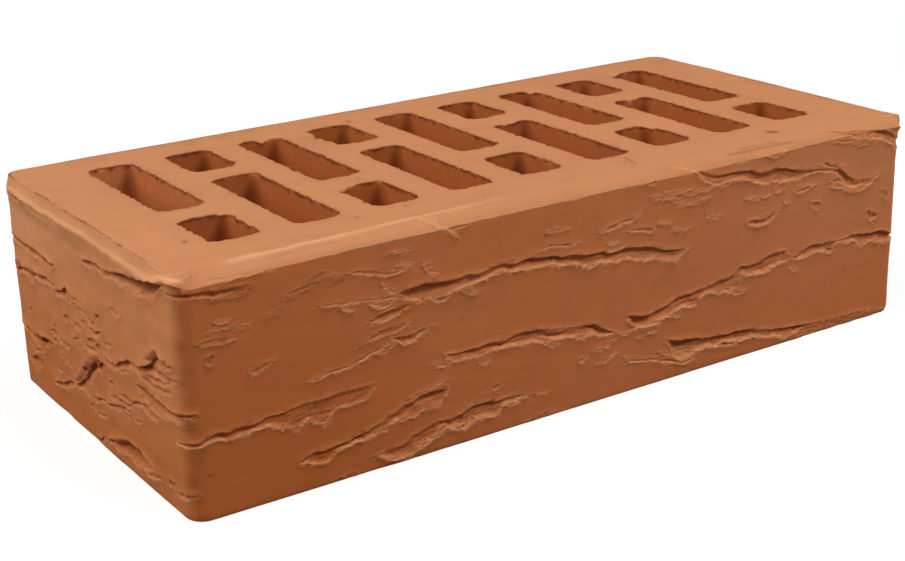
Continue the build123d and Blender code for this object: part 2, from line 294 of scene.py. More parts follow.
HEAD_TEARS = (
    # Under the lip, deepest towards the face
    Tear(0.8, 0.1, ((3, 4.8, 0.6), (9, 4.5, 0.9), (14, 4.2, 0.8), (20, 3.8, 0.5))),
    Tear(1.5, 0.3, ((59, 10.6, 0.7), (62, 9.9, 1.1), (65, 9.2, 1.5), (68, 8.7, 1.5), (72, 8.4, 1.7),
         (76, 8.5, 1.9), (80, 8.2, 1.3), (85, 7.6, 1.6), (88, 6.6, 2.4), (91, 6.2, 2.2), (95, 6.1, 2.5),
         (99, 5.6, 3.0), (103, 4.6, 3.2), (107, 3.6, 3.0), (110.5, 3.0, 1.8), (114, 2.5, 0.9))),
    Tear(1.9, 0.1, ((95, 5.9, 0.8), (99, 5.1, 2.2), (103, 4.2, 3.2), (107, 3.4, 3.4), (110, 3.0, 2.4),
         (113, 2.7, 0.8))),
    # Upper left pair
    Tear(0.8, 0.3, ((1, 17.4, 0.6), (4, 17.6, 1.2), (8, 17.4, 0.6))),
    Tear(0.8, 0.3, ((10, 18.4, 0.7), (16, 17.9, 1.3), (20, 17.2, 1.2), (22.5, 18.1, 1.3),
         (27.5, 18.7, 0.7))),
    Tear(0.9, 0.3, ((26.5, 19.5, 0.7), (31, 18.9, 1.4), (34, 18.8, 1.5), (37.5, 18.6, 0.7))),
    Tear(1.5, 0.4, ((2.5, 28.4, 1.0), (6, 27.4, 1.4), (9, 26.9, 1.0), (13, 26.2, 1.2), (16, 26.2, 2.0),
         (20, 25.6, 1.0), (24, 25.2, 1.0), (28, 24.5, 1.5), (31, 24.3, 1.2), (33, 24.6, 0.9),
         (37.5, 24.2, 0.7))),
    Tear(0.8, 0.2, ((6.2, 25.0, 0.8), (8.2, 25.0, 1.4), (10.4, 25.3, 0.7))),
    Tear(1.8, 0.4, ((35, 26.0, 0.8), (39, 25.7, 1.3), (42, 24.8, 1.4), (44, 23.3, 2.0), (46, 22.6, 2.6),
         (48, 23.2, 1.8), (50, 23.9, 1.2), (53.5, 24.0, 0.7))),
    # Scaly patch in the middle
    Tear(0.8, 0.3, ((41, 32.2, 0.8), (42.6, 31.6, 1.4), (44, 31.4, 0.7))),
    Tear(1.0, 0.3, ((46, 31.8, 0.7), (50, 31.8, 1.4), (53, 31.6, 1.2), (55.8, 31.0, 0.8))),
    Tear(0.8, 0.3, ((53.6, 29.8, 0.7), (56, 28.9, 1.2), (58.4, 28.7, 0.7))),
    Tear(0.6, 0.4, ((52, 25.6, 0.6), (58, 26.2, 1.0), (62, 27.5, 1.0), (66, 26.4, 0.6))),
    Tear(0.8, 0.3, ((60, 29.6, 0.6), (64, 29.6, 1.1), (70.5, 28.5, 0.6))),
    Tear(1.0, 0.2, ((66, 24.6, 0.8), (67.5, 23.8, 1.4), (69, 24.0, 0.7))),
    Tear(0.7, 0.4, ((57, 33.8, 0.7), (62, 32.8, 1.4), (66, 32.0, 0.8))),
    Tear(1.2, 0.2, ((65, 33.4, 1.0), (66.5, 32.6, 2.0), (68, 33.4, 0.8))),
    Tear(0.5, 0.4, ((45, 37.4, 0.5), (50, 36.0, 0.9), (54, 35.6, 0.5))),
    Tear(0.5, 0.4, ((55, 37.0, 0.5), (60, 35.6, 1.0), (66, 35.2, 0.6))),
    Tear(0.5, 0.3, ((68, 31.4, 0.5), (72, 30.6, 0.9), (78, 30.3, 0.5))),
    # Tear that climbs to the right corner, and the strands below it
    Tear(1.6, 0.4, ((69, 34.8, 0.8), (72, 35.0, 2.0), (75, 34.9, 1.6), (79, 34.1, 1.2), (82, 32.6, 1.5),
         (86, 31.0, 1.5), (90, 30.2, 1.3), (94, 29.8, 1.8), (98, 28.6, 2.0), (101, 27.0, 2.4),
         (103, 25.4, 3.0), (105, 23.8, 3.2), (107, 23.0, 2.6), (109, 23.8, 1.6), (112, 23.8, 1.4),
         (115.5, 22.8, 0.8))),
    Tear(0.7, 0.5, ((96, 27.8, 0.6), (103, 27.7, 1.1), (108, 27.0, 1.3), (111, 27.2, 1.4), (115, 26.4, 1.1),
         (118, 26.2, 0.6))),
    Tear(0.6, 0.5, ((94, 31.2, 0.6), (101, 30.4, 1.1), (107, 29.4, 1.1), (113, 28.4, 0.7))),
    Tear(0.5, 0.5, ((92, 32.2, 0.5), (100, 31.8, 0.9), (108, 31.2, 1.0), (115, 30.2, 0.6))),
    Tear(0.5, 0.4, ((79, 35.6, 0.5), (84, 34.4, 0.9), (90, 33.2, 0.5))),
    Tear(0.8, 0.4, ((91, 37.4, 0.9), (93.5, 36.2, 2.6), (96, 35.9, 2.8), (99, 36.6, 2.4), (102, 37.2, 2.4),
         (105, 37.4, 2.0), (108, 36.8, 1.9), (112, 36.2, 1.6), (116, 36.4, 1.2), (120.5, 36.2, 0.6))),
    Tear(0.7, 0.5, ((91, 41.0, 0.6), (95, 40.2, 1.2), (100, 40.6, 1.8), (105, 40.9, 0.7))),
    # Curved tear with a deep pocket
    Tear(1.6, 0.5, ((27, 57.2, 0.8), (31, 55.8, 1.3), (35, 54.6, 1.2), (39, 53.0, 1.4), (43, 51.5, 1.2),
         (47, 50.6, 1.1), (50, 49.4, 1.5), (53, 47.2, 2.0), (56, 44.2, 2.8), (58.5, 42.0, 3.2),
         (61, 40.4, 3.0), (63, 39.8, 2.4), (65, 39.8, 1.0))),
    Tear(1.3, 0.2, ((52, 44.8, 0.8), (53.6, 43.6, 1.6), (55.4, 43.4, 0.7))),
    Tear(1.4, 0.3, ((64.6, 39.8, 0.8), (66.4, 38.2, 2.0), (68.8, 37.3, 0.9))),
    Tear(1.4, 0.4, ((28.5, 40.2, 0.8), (31, 39.4, 1.4), (34, 39.1, 1.6), (37, 40.0, 1.3), (41, 40.6, 1.5),
         (46, 39.9, 0.7))),
    Tear(0.6, 0.3, ((29.5, 43.0, 0.5), (31.5, 42.3, 0.9), (34, 41.8, 0.5))),
    Tear(0.8, 0.2, ((32, 37.9, 0.7), (33.2, 37.2, 1.2), (34.6, 37.4, 0.6))),
    Tear(1.8, 0.4, ((2.5, 46.0, 1.2), (6, 45.2, 1.8), (11, 44.9, 1.0), (14, 46.6, 1.4), (17, 47.0, 1.7),
         (19, 47.0, 2.4), (21, 45.2, 3.2), (23, 44.6, 2.6), (25, 45.5, 1.2), (28.8, 44.4, 0.8))),
    Tear(0.8, 0.3, ((9, 37.4, 0.7), (10.6, 37.5, 1.0), (11.6, 38.5, 1.0), (14.5, 38.0, 0.6))),
    Tear(0.5, 0.4, ((9, 51.0, 0.5), (14, 50.6, 0.9), (20.5, 49.3, 0.5))),
    Tear(1.5, 0.3, ((4.5, 55.2, 1.0), (11, 54.2, 2.2), (15, 53.0, 2.6), (19, 54.0, 1.0))),
    Tear(0.6, 0.4, ((30, 52.2, 0.5), (33, 50.9, 0.9), (36.5, 50.4, 0.5))),
    # Fine parallel strands in the lower middle
    Tear(0.6, 0.5, ((56, 51.2, 0.5), (62, 50.2, 0.9), (67, 49.0, 0.5))),
    Tear(0.7, 0.5, ((60, 49.2, 0.5), (70, 48.6, 0.9), (76, 47.3, 1.1), (81, 46.2, 1.0), (87, 45.6, 0.5))),
    Tear(0.6, 0.4, ((70, 46.2, 0.5), (76, 44.8, 1.0), (81, 43.9, 1.2), (88.5, 43.6, 0.5))),
    Tear(0.6, 0.4, ((77, 42.8, 0.5), (83, 42.2, 1.0), (88, 41.6, 0.5))),
    Tear(0.7, 0.4, ((85, 43.2, 0.5), (88, 41.8, 0.9), (92, 40.8, 0.9), (95.5, 40.2, 0.5))),
    Tear(0.6, 0.4, ((87, 47.2, 0.5), (91, 46.2, 0.9), (93.5, 45.3, 0.5))),
    Tear(0.6, 0.4, ((76, 48.6, 0.5), (82, 47.4, 1.0), (87, 46.8, 0.5))),
    Tear(0.9, 0.2, ((71.5, 42.0, 0.7), (73, 41.1, 1.3), (74.2, 41.2, 0.6))),
    Tear(0.6, 0.5, ((58, 55.2, 0.5), (63, 54.2, 0.8), (68.5, 53.2, 0.5))),
    Tear(0.8, 0.2, ((54.6, 54.5, 0.6), (56.2, 53.6, 1.1), (57.8, 53.6, 0.6))),
    # Beside the broad low gouge
    Tear(0.5, 0.5, ((92, 61.0, 0.5), (97, 59.4, 0.9), (102.5, 58.6, 0.5))),
    Tear(1.0, 0.3, ((57, 64.0, 0.7), (60, 62.8, 1.4), (63.5, 61.2, 0.7))),
    Tear(1.4, 0.2, ((105.6, 58.0, 0.8), (107.6, 57.0, 1.8), (110.5, 57.1, 0.8))),
    Tear(0.8, 0.5, ((109, 59.4, 0.5), (113, 58.5, 0.9), (117, 57.8, 1.0), (121, 57.2, 0.5))),
    Tear(0.4, 0.3, ((75, 19.2, 0.5), (79, 18.9, 0.8), (84.5, 19.8, 0.5))),
    Tear(0.3, 0.3, ((34, 46.0, 0.4), (39, 46.0, 0.6), (44, 47.4, 0.4))),
)

# Smooth hollows in the same head
HEAD_SCOOPS = (
    Tear(1.7, 0.2, ((80, 8.2, 1.0), (85.5, 6.4, 2.4), (93, 5.3, 3.6), (99.6, 4.4, 4.6), (103, 3.9, 4.8),
         (107, 3.3, 3.6), (111, 2.9, 1.8), (114, 2.7, 0.8))),
    Tear(1.8, 0.3, ((90, 36.2, 1.0), (95, 35.0, 3.2), (100, 35.0, 3.8), (105, 35.3, 3.6), (111, 35.5, 2.6),
         (117, 35.2, 1.7), (122, 35.0, 0.8))),
    Tear(2.6, 0.3, ((65, 61.6, 0.9), (70, 59.4, 1.8), (74, 57.8, 3.2), (79, 56.0, 4.6), (83, 55.2, 5.6),
         (87, 55.3, 5.6), (91, 56.0, 4.6), (95, 56.9, 2.6), (98, 57.9, 0.8))),
    Tear(1.3, 0.3, ((2, 17.4, 1.2), (10, 17.4, 2.4), (18, 17.4, 2.6), (26, 17.6, 2.6), (33, 17.9, 2.2),
         (39, 18.4, 0.8))),
    Tear(1.6, 0.3, ((0, 44.8, 1.2), (7, 44.7, 2.8), (13, 45.4, 2.6), (19, 44.8, 3.4), (23, 44.0, 2.8),
         (29, 44.0, 0.8))),
    Tear(1.25, 0.3, ((43, 51.0, 0.8), (49, 47.4, 2.2), (53, 43.2, 3.8), (57, 39.8, 4.6), (61, 37.8, 4.2),
         (65, 37.0, 2.6), (69, 36.8, 0.8))),
    Tear(1.2, 0.3, ((2, 26.6, 0.8), (10, 25.4, 1.8), (18, 24.8, 2.0), (26, 24.0, 1.6), (33, 23.8, 0.8))),
    Tear(1.2, 0.3, ((97, 27.4, 0.8), (102, 23.4, 2.8), (106, 21.4, 3.6), (110, 23.0, 2.2),
         (114, 22.8, 0.8))),
)

# Small faults of the upper bed: place from the middle, size across and depth
BED_PITS = (
    (-109.7, -34.0, 1.0, 0.5), (-90.0, -37.8, 1.3, 0.7), (80.3, -47.3, 2.6, 0.9), (-123.8, -1.0, 1.0, 0.5),
    (-123.9, -14.6, 0.9, 0.4), (-42.0, -39.4, 1.0, 0.5), (-64.7, -43.2, 0.7, 0.3),
    (-105.5, -20.3, 0.7, 0.3), (-49.2, -42.5, 0.8, 0.3), (-14.0, 47.0, 0.8, 0.3), (48.0, 2.0, 0.8, 0.3),
)
# Scratches: both ends, from the middle, and depth
BED_SCRATCHES = (
    (27.3, -40.6, 24.8, -49.2, 0.35), (54.0, -56.2, 79.0, -56.9, 0.3), (60.0, -55.0, 74.0, -55.6, 0.2),
    (-45.2, -10.0, -44.0, -15.5, 0.15),
)
# Broken rims: place, reach and depth
RIM_CHIPS = (
    (-53.6, -19.0, 3.0, 1.4), (-32.6, 37.0, 2.2, 1.0), (-32.4, 32.0, 1.8, 0.8), (-46.0, 44.2, 3.2, 1.2),
    (24.0, 13.0, 3.4, 0.8), (56.0, 44.0, 2.6, 1.0), (92.0, 43.5, 3.0, 1.3), (57.0, -18.5, 2.6, 1.2),
    (74.5, 13.2, 3.0, 0.7), (-92.0, -17.6, 1.6, 0.6),
)

# Tints laid over the colours of the bed, the face and the heads; several are painted light and shade
PALE_CLOUD = (0.62, 0.27, 0.12, 1)
DARK_SPECK = (0.26, 0.09, 0.04, 1)
MOTTLE = (0.30, 0.112, 0.040, 1)
SLOPE = (0.33, 0.125, 0.048, 1)
# Painted sheen on the upper right of the face
PAINTED_FACE_SHEEN = (0.54, 0.195, 0.078, 1)
# Painted sheen on the upper back of each head
PAINTED_HEAD_SHEEN = (0.56, 0.232, 0.100, 1)
# Painted shade towards the bottom of the heads and the face
PAINTED_LOW_SHADE_HEAD = (0.40, 0.117, 0.029, 1)
PAINTED_LOW_SHADE_FACE = (0.44, 0.110, 0.024, 1)
# Painted shade at the left end of the face
PAINTED_LEFT_SHADE = (0.455, 0.119, 0.028, 1)
# Torn clay of the face, darker at the left end as painted shade
TORN_LEFT_SHADED = (0.40, 0.112, 0.030, 1)
TORN_RIGHT = (0.50, 0.165, 0.060, 1)
TORN_HEAD = (0.475, 0.174, 0.066, 1)
# Painted highlights on rims, lips and the knife's streak
PAINTED_HIGHLIGHT_BED = (0.58, 0.292, 0.140, 1)
PAINTED_HIGHLIGHT_HEAD_BED = (0.62, 0.277, 0.122, 1)
PAINTED_HIGHLIGHT_SIDE = (0.64, 0.27, 0.116, 1)
# Painted light deep in a slot, against its shade
DEEP_WALL_PAINTED_LIGHT = (0.45, 0.122, 0.030, 1)
HIGH_WALL = (0.345, 0.088, 0.020, 1)
# Painted light on the wall of the first slot at the back
FIRST_WALL_PAINTED_LIGHT = (0.54, 0.19, 0.066, 1)
# Painted shade of creases, pits, scratches and slot rims
PAINTED_SHADE_TINT = (0.13, 0.028, 0.007, 1)

# Crumbs of clay: inputs of their node group, with sizes in metres
CRUMB_INPUTS = (
    ("Crumbs per square metre", "NodeSocketFloat", 900000.0),
    ("Smallest", "NodeSocketFloat", 0.0001),
    ("Largest", "NodeSocketFloat", 0.0005),
    ("Seed", "NodeSocketInt", 3),
)

# Soft lamps of the studio: place in metres, size across and power. All aim at the brick's middle.
LAMPS = (
    ("upper left", (-1.1, 0.35, 1.1), 1.5, 29.6),
    ("high right", (0.5, -0.9, 1.4), 0.8, 8.4),
    ("right", (0.7, -0.9, 1.2), 0.7, 15.0),
)
LAMP_AIM = (0, 0, 0.03)

# The floor, in metres: how far it reaches, how far it lies below the bed so that the two don't share a
# plane, and where it fades out. Its glow makes it white to the camera.
FLOOR_REACH = 12.0
FLOOR_DROP = 0.00005
FLOOR_FADE = (0.22, 0.5)
FLOOR_GLOW = 0.82

# The camera: place, target and sensor in millimetres, roll in radians, focal length in the picture's pixels
EYE = (-270.6, -403.4, 194.7)
TARGET = (-18.9, -18.1, 30.0)
ROLL = 0.028
FOCAL_PIXELS = 1651
PICTURE_WIDTH_PIXELS = 905
SENSOR_WIDTH = 36


def smooth(t):
    """0 below 0, 1 above 1, and an S between."""
    t = np.clip(t, 0.0, 1.0)
    return t * t * (3 - 2 * t)


def hump(x, reach):
    """A bell-shaped hill: 1 at 0, and nearly 0 at twice its reach."""
    return np.exp(-((x / reach) ** 2))


def heading(degrees):
    """A direction in the plan."""
    return np.array((math.cos(math.radians(degrees)), math.sin(math.radians(degrees))))


def through(xs, ys, x):
    """A smooth curve through points, level with the last one past either end."""
    xs, ys = np.asarray(xs, float), np.asarray(ys, float)
    slopes = np.gradient(ys, xs)
    i = np.clip(np.searchsorted(xs, x) - 1, 0, len(xs) - 2)
    step = xs[i + 1] - xs[i]
    t = np.clip((x - xs[i]) / step, 0, 1)
    rise = slopes[i] * step * (t - 2 * t**2 + t**3)
    fall = slopes[i + 1] * step * (t**3 - t**2)
    return ys[i] + (ys[i + 1] - ys[i]) * (3 * t**2 - 2 * t**3) + rise + fall


def noise_along(x, grain, seed):
    """Random values between -1 and 1 along a line, smooth at the size of a grain."""
    values = np.random.default_rng(seed).uniform(-1, 1, LINE_CELLS)
    at = np.asarray(x) / grain
    cell = np.floor(at).astype(int)
    a, b = values[cell % LINE_CELLS], values[(cell + 1) % LINE_CELLS]
    return a + (b - a) * smooth(at - cell)


def layers_along(x, seed, *layers, level=0.0):
    """Noise along a line in layers about a level. A layer is its height, its grain and its seed's number."""
    total = level
    for height, grain, number in layers:
        total = total + height * noise_along(x, grain, seed + number)
    return total


def noise_over(x, y, grain_x, grain_y, seed, around=0.0):
    """Noise over a surface. Where around is given, x closes on itself after that length."""
    values = np.random.default_rng(seed).uniform(-1, 1, (SURFACE_CELLS, SURFACE_CELLS))
    across = max(1, round(around / grain_x)) if around else SURFACE_CELLS
    at_x = np.asarray(x) * across / around if around else np.asarray(x) / grain_x
    at_y = np.asarray(y) / grain_y
    i, j = np.floor(at_x).astype(int), np.floor(at_y).astype(int)
    tx, ty = smooth(at_x - i), smooth(at_y - j)
    i0, i1 = i % across % SURFACE_CELLS, (i + 1) % across % SURFACE_CELLS
    j0, j1 = j % SURFACE_CELLS, (j + 1) % SURFACE_CELLS
    low = values[i0, j0] + (values[i1, j0] - values[i0, j0]) * tx
    high = values[i0, j1] + (values[i1, j1] - values[i0, j1]) * tx
    return low + (high - low) * ty


class BrickShape(bpy.types.PropertyGroup):
    """Sizes of the brick and of its relief, in millimetres."""

    corner: bpy.props.FloatProperty(name="Corner", description="Radius of the upright corners", default=5.0)
    slot_width: bpy.props.FloatProperty(name="Slot width", description="Width of every slot", default=14.0)
    slot_corner: bpy.props.FloatProperty(name="Slot corner", description="Radius in a slot", default=3.0)
    short_slot: bpy.props.FloatProperty(name="Short slot", description="Length of a short slot", default=22.0)
    head_shell: bpy.props.FloatProperty(name="Head shell", description="Wall at each head", default=20.4)
    web: bpy.props.FloatProperty(name="Web", description="Wall between a column's two slots", default=10.0)
    rib: bpy.props.FloatProperty(name="Rib", description="Wall between two columns", default=10.4)
    face_shell: bpy.props.FloatProperty(name="Face shell", description="Wall behind the face", default=21.0)
    back_shell: bpy.props.FloatProperty(name="Back shell", description="Wall at the back", default=15.0)
    face_run: bpy.props.FloatProperty(name="Face arris run", description="How far it runs in", default=6.5)
    face_drop: bpy.props.FloatProperty(name="Face arris drop", description="How far it drops", default=2.5)
    head_run: bpy.props.FloatProperty(name="Head arris run", description="How far it runs in", default=0.6)
    head_drop: bpy.props.FloatProperty(name="Head arris drop", description="How far it drops", default=4.0)
    back_arris: bpy.props.FloatProperty(name="Back arris", description="Ease of the back arris", default=0.6)
    bed_arris: bpy.props.FloatProperty(name="Bed arris", description="Ease of the lower arris", default=0.8)
    lip: bpy.props.FloatProperty(name="Lip", description="How far it stands out of a head", default=1.2)
    along_step: bpy.props.FloatProperty(name="Step along", description="Grid step along a side", default=0.42)
    up_step: bpy.props.FloatProperty(name="Step up", description="Grid step up a side", default=0.22)
    relief: bpy.props.FloatProperty(name="Relief", description="Strength of the tears", default=1.0)
    triangles: bpy.props.IntProperty(name="Triangles", description="How many are left", default=190000)


class BrickLooks(bpy.types.PropertyGroup):
    """Colours of the clay and of the studio."""

    bed: bpy.props.FloatVectorProperty(
        name="Bed", description="Wire-cut clay of the beds", subtype="COLOR", default=(0.436, 0.181, 0.078)
    )
    face: bpy.props.FloatVectorProperty(
        name="Face", description="Dressed skin of the face", subtype="COLOR", default=(0.508, 0.150, 0.045)
    )
    head: bpy.props.FloatVectorProperty(
        name="Head", description="Dressed skin of the heads", subtype="COLOR", default=(0.490, 0.180, 0.066)
    )
    # Painted shade deep in a tear; the specks borrow its colour
    hollow_shade: bpy.props.FloatVectorProperty(
        name="Hollow", description="Clay deep in a tear", subtype="COLOR", default=(0.25, 0.060, 0.017)
    )
    roughness: bpy.props.FloatProperty(name="Roughness", description="Roughness of the clay", default=0.86)
    grain: bpy.props.FloatProperty(name="Grain", description="Height of the fine grain", default=0.05)
    fill: bpy.props.FloatProperty(name="Fill", description="Light from all round", default=0.11)
    floor: bpy.props.FloatVectorProperty(
        name="Floor", description="Colour of the floor", subtype="COLOR", default=(0.2, 0.2, 0.2)
    )


def perimeter(shape, inset, radius):
    """Points and outward normals round the brick, their distances along, and the whole way round.

    As seen from above, the path starts in the middle of the back and runs by the left head, the face and
    the right head to the back again. Every inset gives as many points, so that two paths join into a
    strip, and the distances are those of the outermost path.
    """
    half_x, half_y = LENGTH / 2 - inset, WIDTH / 2 - inset
    straight_x, straight_y = half_x - radius, half_y - radius
    half_back = LENGTH / 2 - shape.corner
    long_side, short_side = LENGTH - 2 * shape.corner, WIDTH - 2 * shape.corner
    fine = shape.along_step
    runs = (
        ((0, half_y), (-straight_x, half_y), (0, 1), half_back, BACK_STEP),
        ((-half_x, straight_y), (-half_x, -straight_y), (-1, 0), short_side, fine),
        ((-straight_x, -half_y), (straight_x, -half_y), (0, -1), long_side, fine),
        ((half_x, -straight_y), (half_x, straight_y), (1, 0), short_side, fine),
        ((straight_x, half_y), (0, half_y), (0, 1), half_back, BACK_STEP),
    )
    corners = ((-1, 1, 90), (-1, -1, 180), (1, -1, 270), (1, 1, 0))
    arc_steps = round(shape.corner * math.pi / 2 / fine)
    points, normals, along = [], [], []
    travelled = 0.0
    for number, (start, end, normal, full, step) in enumerate(runs):
        steps = round(full / step)
        start, end = np.array(start, float), np.array(end, float)
        for k in range(steps):
            points.append(start + (end - start) * k / steps)
            normals.append(np.array(normal, float))
            along.append(travelled + full * k / steps)
        travelled += full
        if number < len(corners):
            sx, sy, first = corners[number]
            centre = np.array((sx * straight_x, sy * straight_y))
            for k in range(arc_steps):
                direction = heading(first + 90 * k / arc_steps)
                points.append(centre + radius * direction)
                normals.append(direction)
                along.append(travelled + shape.corner * math.pi / 2 * k / arc_steps)
            travelled += shape.corner * math.pi / 2
    return np.array(points), np.array(normals), np.array(along), travelled


def side_starts(shape):
    """Where the left head, the face and the right head start along the strip, at their square corners."""
    quarter = shape.corner * math.pi / 2
    head_start = LENGTH / 2 - shape.corner + quarter - shape.corner
    face_start = LENGTH / 2 - shape.corner + 2 * quarter + WIDTH - 2 * shape.corner - shape.corner
    right_start = face_start + LENGTH - shape.corner + quarter - shape.corner
    return head_start, face_start, right_start


def cut_tear(tear, start, along, below, relief, seed, coarse=0.0, scoop=0.0):
    """Adds one tear to the relief: a ledge hangs over a torn floor, which climbs to a ragged rim.

    A coarse tear is more of a crumbly split, with hardly any rim. A scooped one sinks slowly and climbs fast.
    """
    out, sag, hollow_shade, rough, pale = relief
    u, v, w = (np.array(column, float) for column in zip(*tear.route))
    near = np.flatnonzero((along - start > u[0]) & (along - start < u[-1]))
    if not len(near):
        return
    s = along[near] - start
    end = np.minimum(s - u[0], u[-1] - s)
    taper = np.sqrt(smooth(end / min(5.0, 0.35 * (u[-1] - u[0]))))

    # Where the ledge runs, how wide the floor is and how deep it lies
    wander = layers_along(s, seed, (0.26, 2.8, 0), (0.10, 1.3, 1), (0.06, 0.6, 11))
    line = through(u, v, s) + wander * np.minimum(1, end / 2)
    slope = np.gradient(line, s)
    floor_width = np.maximum(through(u, w, s), 0.4) * (0.3 + 0.7 * taper)
    ragged = layers_along(s, seed, (0.20, 4.2, 2), (0.11, 1.3, 3), (0.06, 0.6, 10))
    width = floor_width * (1 + ragged) + 0.1
    steep = 1 / np.sqrt(1 + 2 * slope**2)
    uneven = 0.56 + 0.29 * coarse + 0.38 * (1 - 0.7 * scoop) * noise_along(s, 8.0, seed + 4)
    depth = tear.depth * taper * uneven * (0.35 + 0.65 * steep)
    rim = (0.38 - 0.03 * coarse) * tear.rim * np.sqrt(taper) * (0.8 + 0.6 * noise_along(s, 2.4, seed + 5))
    shoulder = 0.65 + 0.15 * coarse + 0.8 * (1 + noise_along(s, 8.0, seed + 9)) * (1 - coarse)
    shoulder = np.minimum(shoulder, 0.2 + 0.6 * floor_width) + scoop * 0.42 * floor_width
    lip = (0.12 + 0.12 * coarse) * depth

    # The floor: q is the distance below the ledge, and t its share of the floor's width
    q = (below[:, near] - line) / np.sqrt(1 + np.minimum(slope**2, 4))
    t = np.clip(q / floor_width, 0, 1)
    across = q + 0.5 * noise_along(s, 9.0, seed + 6)
    strands = noise_over(s + 0 * q, across, 16.0, 0.55, seed + 7)
    strands = strands + 0.5 * noise_over(s + 0 * q, across, 5.0, 0.9, seed + 8)
    carve = np.sqrt(np.maximum(np.sin(math.pi * np.clip(q / width, 0, 1)), 0))
    level = 0.45 + 0.35 * noise_along(s, 9.0, seed + 12)
    shelf = 1 - 0.3 * smooth(t / 0.45) - 0.7 * smooth((t - 0.72) / 0.28)
    ramp = 1 - 0.45 * t - 0.55 * t**3
    climb = (1 - coarse) * (ramp + (shelf - ramp) * level) + coarse * (1 - t) ** 1.6
    climb += scoop * (1 - smooth((t - 0.68) / 0.32) - climb)
    floor = -depth * climb + (0.24 - 0.1 * coarse) * np.sqrt(depth) * strands * carve

    # The section above the ledge, within the tear and past its rim
    edge = smooth(q / shoulder)
    above = lip * np.exp(np.minimum(q, 0) / 1.6)
    within = lip + (floor - lip) * edge
    crest = rim * hump(np.maximum(width - q, 0), 0.4)
    outside = rim * np.exp(-np.maximum(q - width, 0) / 2.2)
    out[:, near] += np.where(q < 0, above, np.where(q < width, within + crest * edge, outside))
    hang = (0.07 + 0.05 * coarse) * depth * np.maximum(1.4 - shoulder, 0)
    sag[:, near] += hang * np.where(q < 0, np.exp(np.minimum(q, 0) / 0.8), 1 - edge)

    # Painted shade in the hollow, how torn the clay is, and painted highlights on the rim and above the ledge
    inside = (q > 0) & (q < width)
    share = np.where(inside, smooth(depth / (1.3 - 0.3 * coarse)) * (1 - t) ** (2 - 0.7 * coarse), 0)
    share += scoop * (inside * smooth(depth) * hump(t - 0.6, 0.25) - share)
    hollow_shade[:, near] = np.maximum(hollow_shade[:, near], share)
    past = np.where(q < 0, -2.5 * q, q - width)
    torn = np.where(inside, 1.0, np.exp(-np.abs(past) / (0.45 + coarse)))
    rough[:, near] = np.maximum(rough[:, near], torn)
    # Painted highlights on the rim and in a thin line above the ledge
    worn = hump(q - width + 0.18, 0.28) + 0.2 * hump(q + 0.35, 0.4)
    shown = np.minimum(1.3, 2.6 * tear.rim) * (1 - 0.5 * coarse) * np.sqrt(taper)
    shown = shown * (1 + 0.35 * noise_along(s, 1.7, seed + 13))
    pale[:, near] = np.maximum(pale[:, near], shown * worn)


def strata(tear, rng):
    """Thin steps inside the floor of a broad tear, where the clay came away in layers."""
    u, v, w = (np.array(column, float) for column in zip(*tear.route))
    layers = []
    if w.max() < 2.2 or u[-1] - u[0] < 12:
        return layers
    for share in (0.3, 0.58):
        start = rng.uniform(u[0] + 2, u[-1] - 8)
        stop = rng.uniform(start + 5, min(start + 30, u[-1] - 2))
        at = np.linspace(start, stop, max(3, int((stop - start) / 4)))
        width = np.interp(at, u, w)
        level = np.interp(at, u, v) + width * (share + rng.uniform(-0.08, 0.08, len(at)))
        layers.append(Tear(0.34 * tear.depth, 0.22, tuple(zip(at, level, 0.45 * width))))
    return layers


def scatter_tears(rng, span):
    """Tears for a head that the picture doesn't show, drawn at random in the same manner."""
    tears = []
    for row in range(9):
        level = 8 + row * 6.2 + rng.uniform(-1.5, 1.5)
        at = rng.uniform(-2, 30)
        while at < span - 6:
            reach = min(rng.uniform(14, 55), span + 2 - at)
            count = max(4, int(reach / 4.5))
            us = at + np.sort(rng.uniform(0, reach, count))
            us = at + (us - us[0]) / (us[-1] - us[0]) * reach
            us += np.arange(count) * 0.01
            vs = level + np.cumsum(rng.normal(0, 0.75, count)) + rng.uniform(-3, 3) * (us - at) / reach
            peak = rng.uniform(1.4, 4.6)
            ws = peak * (0.35 + 0.65 * np.sin(math.pi * (us - at) / reach)) * rng.uniform(0.6, 1.2, count)
            tears.append(Tear(rng.uniform(0.7, 2.1), rng.uniform(0.3, 0.5), tuple(zip(us, vs, ws))))
            at += reach + rng.uniform(4, 34)
    for _ in range(26):
        at, level, reach = rng.uniform(2, span - 14), rng.uniform(7, 60), rng.uniform(3, 12)
        lean = rng.uniform(-0.25, 0.25) * reach
        middle = (at + reach / 2, level + lean / 2 - 0.3, rng.uniform(0.8, 1.8))
        route = ((at, level, 0.5), middle, (at + reach, level + lean, 0.5))
        tears.append(Tear(rng.uniform(0.4, 1.1), 0.35, route))
    return tears


